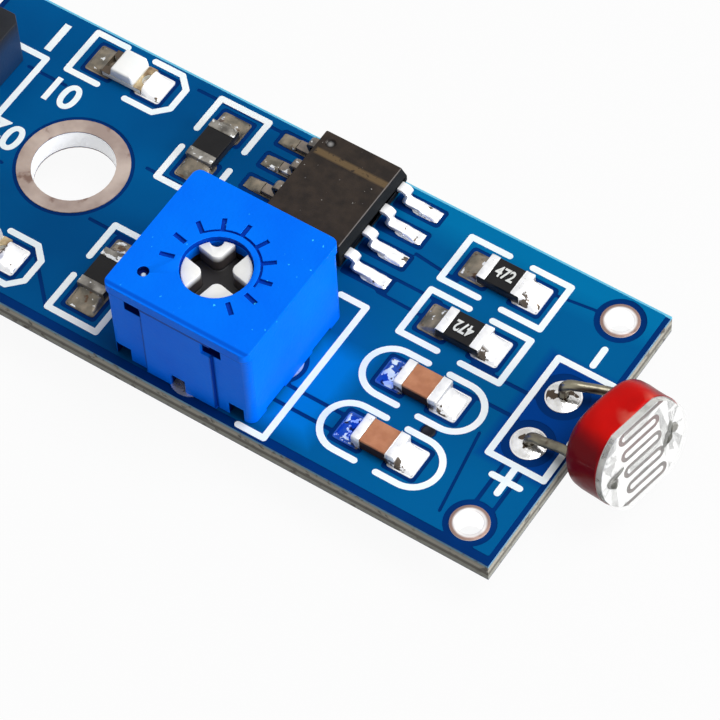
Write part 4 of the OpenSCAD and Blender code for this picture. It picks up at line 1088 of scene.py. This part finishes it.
# A soft pinkish patch on the top is a painted highlight.
painted_gloss_highlight = both(red, post_mask(red, (26.75, 0.35), 0.75, 0.7), spot_mask(red, 620, 0.42, 0.2))
paint(red, painted_gloss_highlight, rgb(226, 138, 118))
paint(red, spot_mask(red, 520, 0.62, 0.1), rgb(236, 40, 22))
upward = (cell_turn @ axes).to_3x3() @ Vector((0, 1, 0))
# Where the cup faces sideways, back or down, the red is painted deeper, a painted shade.
paint(red, outside_of(red, facing_mask(red, upward, 0.60, 0.95)), rgb(120, 2, 14))
paint(red, outside_of(red, facing_mask(red, upward, -0.7, 0.1)), rgb(92, 14, 26))
coating = add_piece("red_coating_cup", coating_mesh(), red, replaces=("photocell_coating",))
coating.data.shade_smooth()
coating.data.set_sharp_from_angle(angle=math.radians(60))
print("red cup faces:", len(coating.data.polygons))

# %% [markdown]
# The face carries a white metal film, split by a winding line of grey-brown
# sensing film. The clear lacquer over it is thin: it is made with Alpha and a
# glossy coat rather than with thick glass, so that the light still reaches the
# film below. A dab of dark conductive paste sits on each wire's end.

# %% Photocell: face
ceramic = finish("white_ceramic", rgb(246, 246, 242), rgb(226, 226, 220), 0.6, 0.1, 1500, 9000, 0.006, specular=0.3)
paint(ceramic, spot_mask(ceramic, 900, 0.55, 0.1), rgb(178, 180, 172))
electrode = finish("electrode_film", rgb(254, 254, 254), rgb(246, 246, 246), 0.4, 0.15, 1600, 9000, 0.004,
                   metallic=0.1, specular=0.4)
track = finish("track_film", rgb(104, 92, 88), rgb(76, 70, 68), 0.6, 0.1, 2600, 9000, 0.004, specular=0.2)
paint(track, box_mask(track, (None, None, 2.75), (None, None, None), 0.5), rgb(98, 66, 64))
window = finish("clear_lacquer", rgb(252, 252, 250), rgb(244, 246, 244), 0.08, 0.04, 900, 3000, coat=0.4, alpha=0.16)
dress(ceramic, "photocell_disc", "trimmer_element")
dress(electrode, "photocell_electrodes")
dress(track, "photocell_track")
dress(window, "photocell_window")


def dab(bm, place, size, steps=(10, 20)):
    """A low rounded heap on the face, with an uneven outline."""
    phase = rng.uniform(0, 6.3, 3)
    rings = []
    for i in range(steps[0]):
        lift = math.pi / 2 * i / steps[0]
        ring = []
        for k in range(steps[1]):
            a = 2 * math.pi * k / steps[1]
            r = math.cos(lift) * (1 + 0.22 * math.sin(2 * a + phase[0]) + 0.14 * math.sin(3 * a + phase[1]))
            z = math.sin(lift) * (1 + 0.1 * math.sin(a + phase[2]))
            ring.append(bm.verts.new(place @ Vector((size[0] * r * math.cos(a), size[1] * r * math.sin(a), size[2] * z))))
        rings.append(ring)
    for first, second in zip(rings, rings[1:]):
        for k in range(steps[1]):
            n = (k + 1) % steps[1]
            bm.faces.new((first[k], first[n], second[n], second[k]))
    bm.faces.new(rings[-1])
    bm.faces.new(rings[0][::-1])


paste = finish("contact_paste", rgb(96, 96, 88), rgb(58, 58, 54), 0.5, 0.2, 2600, 5000, 0.03, metallic=0.3)
bm = bmesh.new()
for x, y, size, turn in (
    (1.36, -0.28, (0.26, 0.24, 0.14), 20), (1.52, 0.10, (0.10, 0.36, 0.12), -20), (1.20, -0.46, (0.26, 0.07, 0.10), 30),
    (-1.74, -0.1, (0.20, 0.36, 0.14), 10), (-1.50, 0.20, (0.34, 0.08, 0.12), 8),
):
    place = CELL @ Matrix.Translation((x, y, 0.02)) @ Matrix.Rotation(math.radians(turn), 4, "Z")
    dab(bm, place, size)
bmesh.ops.recalc_face_normals(bm, faces=bm.faces)
pastes = add_piece("contact_dabs", mesh_of("contact_dabs", bm), paste)
pastes.data.shade_smooth()
print("dabs faces:", len(pastes.data.polygons))

# %% [markdown]
# The photocell's wires are soft tinned copper. They leave the disc, sag a little
# and turn down into their holes in a fat round knee, where solder has crept up.
# Each is a tube swept along the same route as the solid one in the CAD, with a
# radius that grows at the knee. A frame is carried along the route so that the
# tube never twists.

# %% Photocell: wires
WIRE_R, TAIL_Z = 0.20, -1.6


def route(hole_y, side, rise):
    run_z = BOARD_TOP + rise
    start = CELL @ Vector((side, 0, 0.1)) / MM
    leave = CELL @ Vector((side, 0, -CELL_DEPTH - 0.15)) / MM
    pull = CELL @ Vector((side, 0, -CELL_DEPTH - 0.9)) / MM
    top = Vector((SENSOR_X, hole_y, run_z))
    out = Vector((leave.x - top.x, leave.y - top.y, 0)).normalized()
    bend = 0.4
    knee = top + bend * out
    reach = knee + 0.7 * out
    points = [start.lerp(leave, t) for t in (0, 0.5, 0.9)]
    for t in np.linspace(0, 1, 15):
        t = float(t)
        points.append((1 - t) ** 3 * leave + 3 * t * (1 - t) ** 2 * pull + 3 * t * t * (1 - t) * reach + t ** 3 * knee)
    for a in np.linspace(0, math.pi / 2, 9)[1:]:
        points.append(top + out * bend * (1 - math.sin(a)) - Vector((0, 0, bend * (1 - math.cos(a)))))
    points += [Vector((SENSOR_X, hole_y, z)) for z in (1.1, 0.9, 0, -0.6, -1.2, TAIL_Z + 0.03, TAIL_Z)]
    return points


def tube(name, points, radii, sides=20):
    bm = bmesh.new()
    rings = []
    normal = Vector((0, 0, 1))
    for i, point in enumerate(points):
        before, after = points[max(i - 1, 0)], points[min(i + 1, len(points) - 1)]
        along = (after - before).normalized()
        normal = (normal - along * normal.dot(along)).normalized()
        side_axis = along.cross(normal)
        ring = []
        for k in range(sides):
            a = 2 * math.pi * k / sides
            ring.append(bm.verts.new((point + radii[i] * (normal * math.cos(a) + side_axis * math.sin(a))) * MM))
        rings.append(ring)
    for first, second in zip(rings, rings[1:]):
        for k in range(sides):
            n = (k + 1) % sides
            bm.faces.new((first[k], first[n], second[n], second[k]))
    bm.faces.new(rings[0][::-1])
    bm.faces.new(rings[-1])
    bmesh.ops.recalc_face_normals(bm, faces=bm.faces)
    mesh = mesh_of(name, bm)
    mesh.shade_smooth()
    mesh.set_sharp_from_angle(angle=math.radians(60))
    return mesh


wire_metal = finish("tinned_wire", rgb(150, 144, 122), rgb(82, 78, 72), 0.32, 0.2, 1100, 3500, 0.012, metallic=0.8)
paint(wire_metal, spot_mask(wire_metal, 1300, 0.6, 0.05), rgb(70, 58, 46))
for name, hole_y, side, rise in (
    ("photocell_wire_far", SENSOR_HOLES[0], 1.7, 0.95), ("photocell_wire_near", SENSOR_HOLES[1], -1.7, 0.62),
):
    points = route(hole_y, side, rise)
    radii = []
    for point in points:
        near_knee = max(0.0, 1 - (point - Vector((SENSOR_X, hole_y, BOARD_TOP + rise))).length / 0.9)
        tail = 0.9 if point.z < TAIL_Z + 0.02 else 1
        radii.append(WIRE_R * (1 + 0.16 * near_knee) * tail)
    mesh = tube(name + "_tube", points, radii)
    add_piece(name + "_tube", mesh, wire_metal, replaces=(name,))
    print(name, "points:", len(points))

# %% [markdown]
# The trimmer is moulded in bright blue plastic. Its marks, its corner dot and
# the notches in its sides are so deep and narrow that they look nearly black,
# and masks paint that shade into them, with more painted shade lines under the
# rim band, by the side panels and along the top's near edge. A painted glint
# sits in the dot, and a few more lie on the top. Its edges are slightly round.
# The rotor is white, and its slots, far below the top, are painted dark and
# grey, a painted shade.

# %% Trimmer
POT_TOP = 5.84
AXIS = (POT[0], POT[1] - 0.3)
trimmer_blue = finish("trimmer_moulding", rgb(0, 120, 255), rgb(0, 110, 250), 0.42, 0.1, 300, 7000, 0.008,
                      specular=0.04)
# Sunk marks near the axis and the corner dot are painted dark, a painted shade.
sunk_painted_shade = box_mask(trimmer_blue, (None, None, POT_TOP - 0.3), (None, None, POT_TOP - 0.03), 0.02)
near_axis = post_mask(trimmer_blue, AXIS, 2.6)
paint(trimmer_blue, both(trimmer_blue, sunk_painted_shade, near_axis), rgb(0, 60, 176))
DOT = (POT[0] - 2.28, POT[1] - 1.95)
dot_painted_shade = both(trimmer_blue, post_mask(trimmer_blue, DOT, 0.27), box_mask(trimmer_blue, (None,) * 3, (None, None, 5.82)))
paint(trimmer_blue, dot_painted_shade, rgb(0, 20, 92))
# The white spot in the dot is a painted glint.
paint(trimmer_blue, post_mask(trimmer_blue, DOT, 0.09, 0.04), rgb(226, 240, 255))
# The notches are painted nearly black, and thin lines by the panels and under the band are painted shade.
for s in (-1, 1):
    face = POT[1] + s * 3.13
    inner = sorted((face - s * 0.02, face - s * 0.6))
    for x in (-2.03, 1.63):
        eye_notch_shade = ((POT[0] + x - 0.44, inner[0], 4.56), (POT[0] + x + 0.44, inner[1], 5.25))
        paint(trimmer_blue, box_mask(trimmer_blue, *eye_notch_shade), rgb(0, 22, 96))
    for x in (-2.8, -0.15, 2.55):
        foot_notch_shade = ((POT[0] + x - 0.37, inner[0], 1.0), (POT[0] + x + 0.37, inner[1], 1.82))
        paint(trimmer_blue, box_mask(trimmer_blue, *foot_notch_shade), rgb(0, 18, 84))
    skin = sorted((face - s * 0.05, face + s * 0.2))
    for x in (-1.66, 1.66):
        line = ((POT[0] + x - 0.06, skin[0], 1.1), (POT[0] + x + 0.06, skin[1], 5.28))
        paint(trimmer_blue, box_mask(trimmer_blue, *line, soft=0.1), rgb(0, 52, 150))
    under_band_painted_shade = ((None, skin[0], 5.26), (None, skin[1], 5.36))
    paint(trimmer_blue, box_mask(trimmer_blue, *under_band_painted_shade, soft=0.08), rgb(0, 52, 150))
# A dark line along the top's near edge is painted shade.
rim_painted_shade_line = ((None, POT[1] - 3.16, POT_TOP - 0.05), (None, POT[1] - 3.00, None))
paint(trimmer_blue, box_mask(trimmer_blue, *rim_painted_shade_line, soft=0.08), rgb(0, 88, 214))
# Bright cyan specks on the top are painted glints.
painted_glints = both(trimmer_blue, spot_mask(trimmer_blue, 3600, 0.70, 0.02), box_mask(trimmer_blue, (None, None, 5.7), (None,) * 3))
paint(trimmer_blue, painted_glints, rgb(60, 206, 255))
dress(trimmer_blue, "trimmer_housing")
soften(0.014, "trimmer_housing", segments=2, angle=40)

rotor_white = finish("rotor_moulding", rgb(252, 252, 250), rgb(238, 238, 234), 0.4, 0.1, 900, 9000, 0.004, specular=0.3)
ROTOR_TOP = 5.62
# The rotor's slots are painted darker with depth, a painted shade.
slot_painted_shade = box_mask(rotor_white, (None,) * 3, (None, None, ROTOR_TOP - 0.22), 0.3)
paint(rotor_white, slot_painted_shade, rgb(74, 68, 66))
paint(rotor_white, box_mask(rotor_white, (None,) * 3, (None, None, ROTOR_TOP - 0.8), 0.1), rgb(40, 38, 38))
dress(rotor_white, "trimmer_rotor")
soften(0.04, "trimmer_rotor")
contact = finish("contact_metal", rgb(206, 172, 110), rgb(170, 136, 84), 0.35, 0.15, 1500, metallic=0.9)
seal_rubber = finish("seal_rubber", rgb(34, 26, 26), rgb(24, 20, 20), 0.7, 0.1, 1500, bump=0.004, specular=0.2)
filling = finish("potting", rgb(20, 44, 110), rgb(14, 34, 88), 0.35, 0.1, 900, bump=0.01, specular=0.2)
dress(contact, "trimmer_wiper")
dress(seal_rubber, "trimmer_seal")
dress(filling, "trimmer_base")
print("trimmer dressed")

# %% [markdown]
# The header strip is glass-filled black plastic, and its lower part is painted
# navy, a painted reflection of the blue board. Its pins are square brass with a
# thin gold flash.

# %% Header
header_black = finish("header_moulding", rgb(30, 33, 40), rgb(20, 23, 30), 0.5, 0.1, 900, 9000, 0.006, specular=0.2)
# The lower part is painted navy, a painted reflection of the blue board.
paint(header_black, box_mask(header_black, (None,) * 3, (None, None, 3.1), 0.9), rgb(18, 48, 84))
gold = finish("pin_gold", rgb(226, 194, 128), rgb(214, 180, 116), 0.28, 0.06, 700, 6000, 0.002, metallic=0.9)
pins = ("header_pin_1", "header_pin_2", "header_pin_3")
dress(header_black, "header_strip")
dress(gold, *pins)
soften(0.05, "header_strip")
soften(0.02, *pins)
print("header dressed, pins:", len(pins))
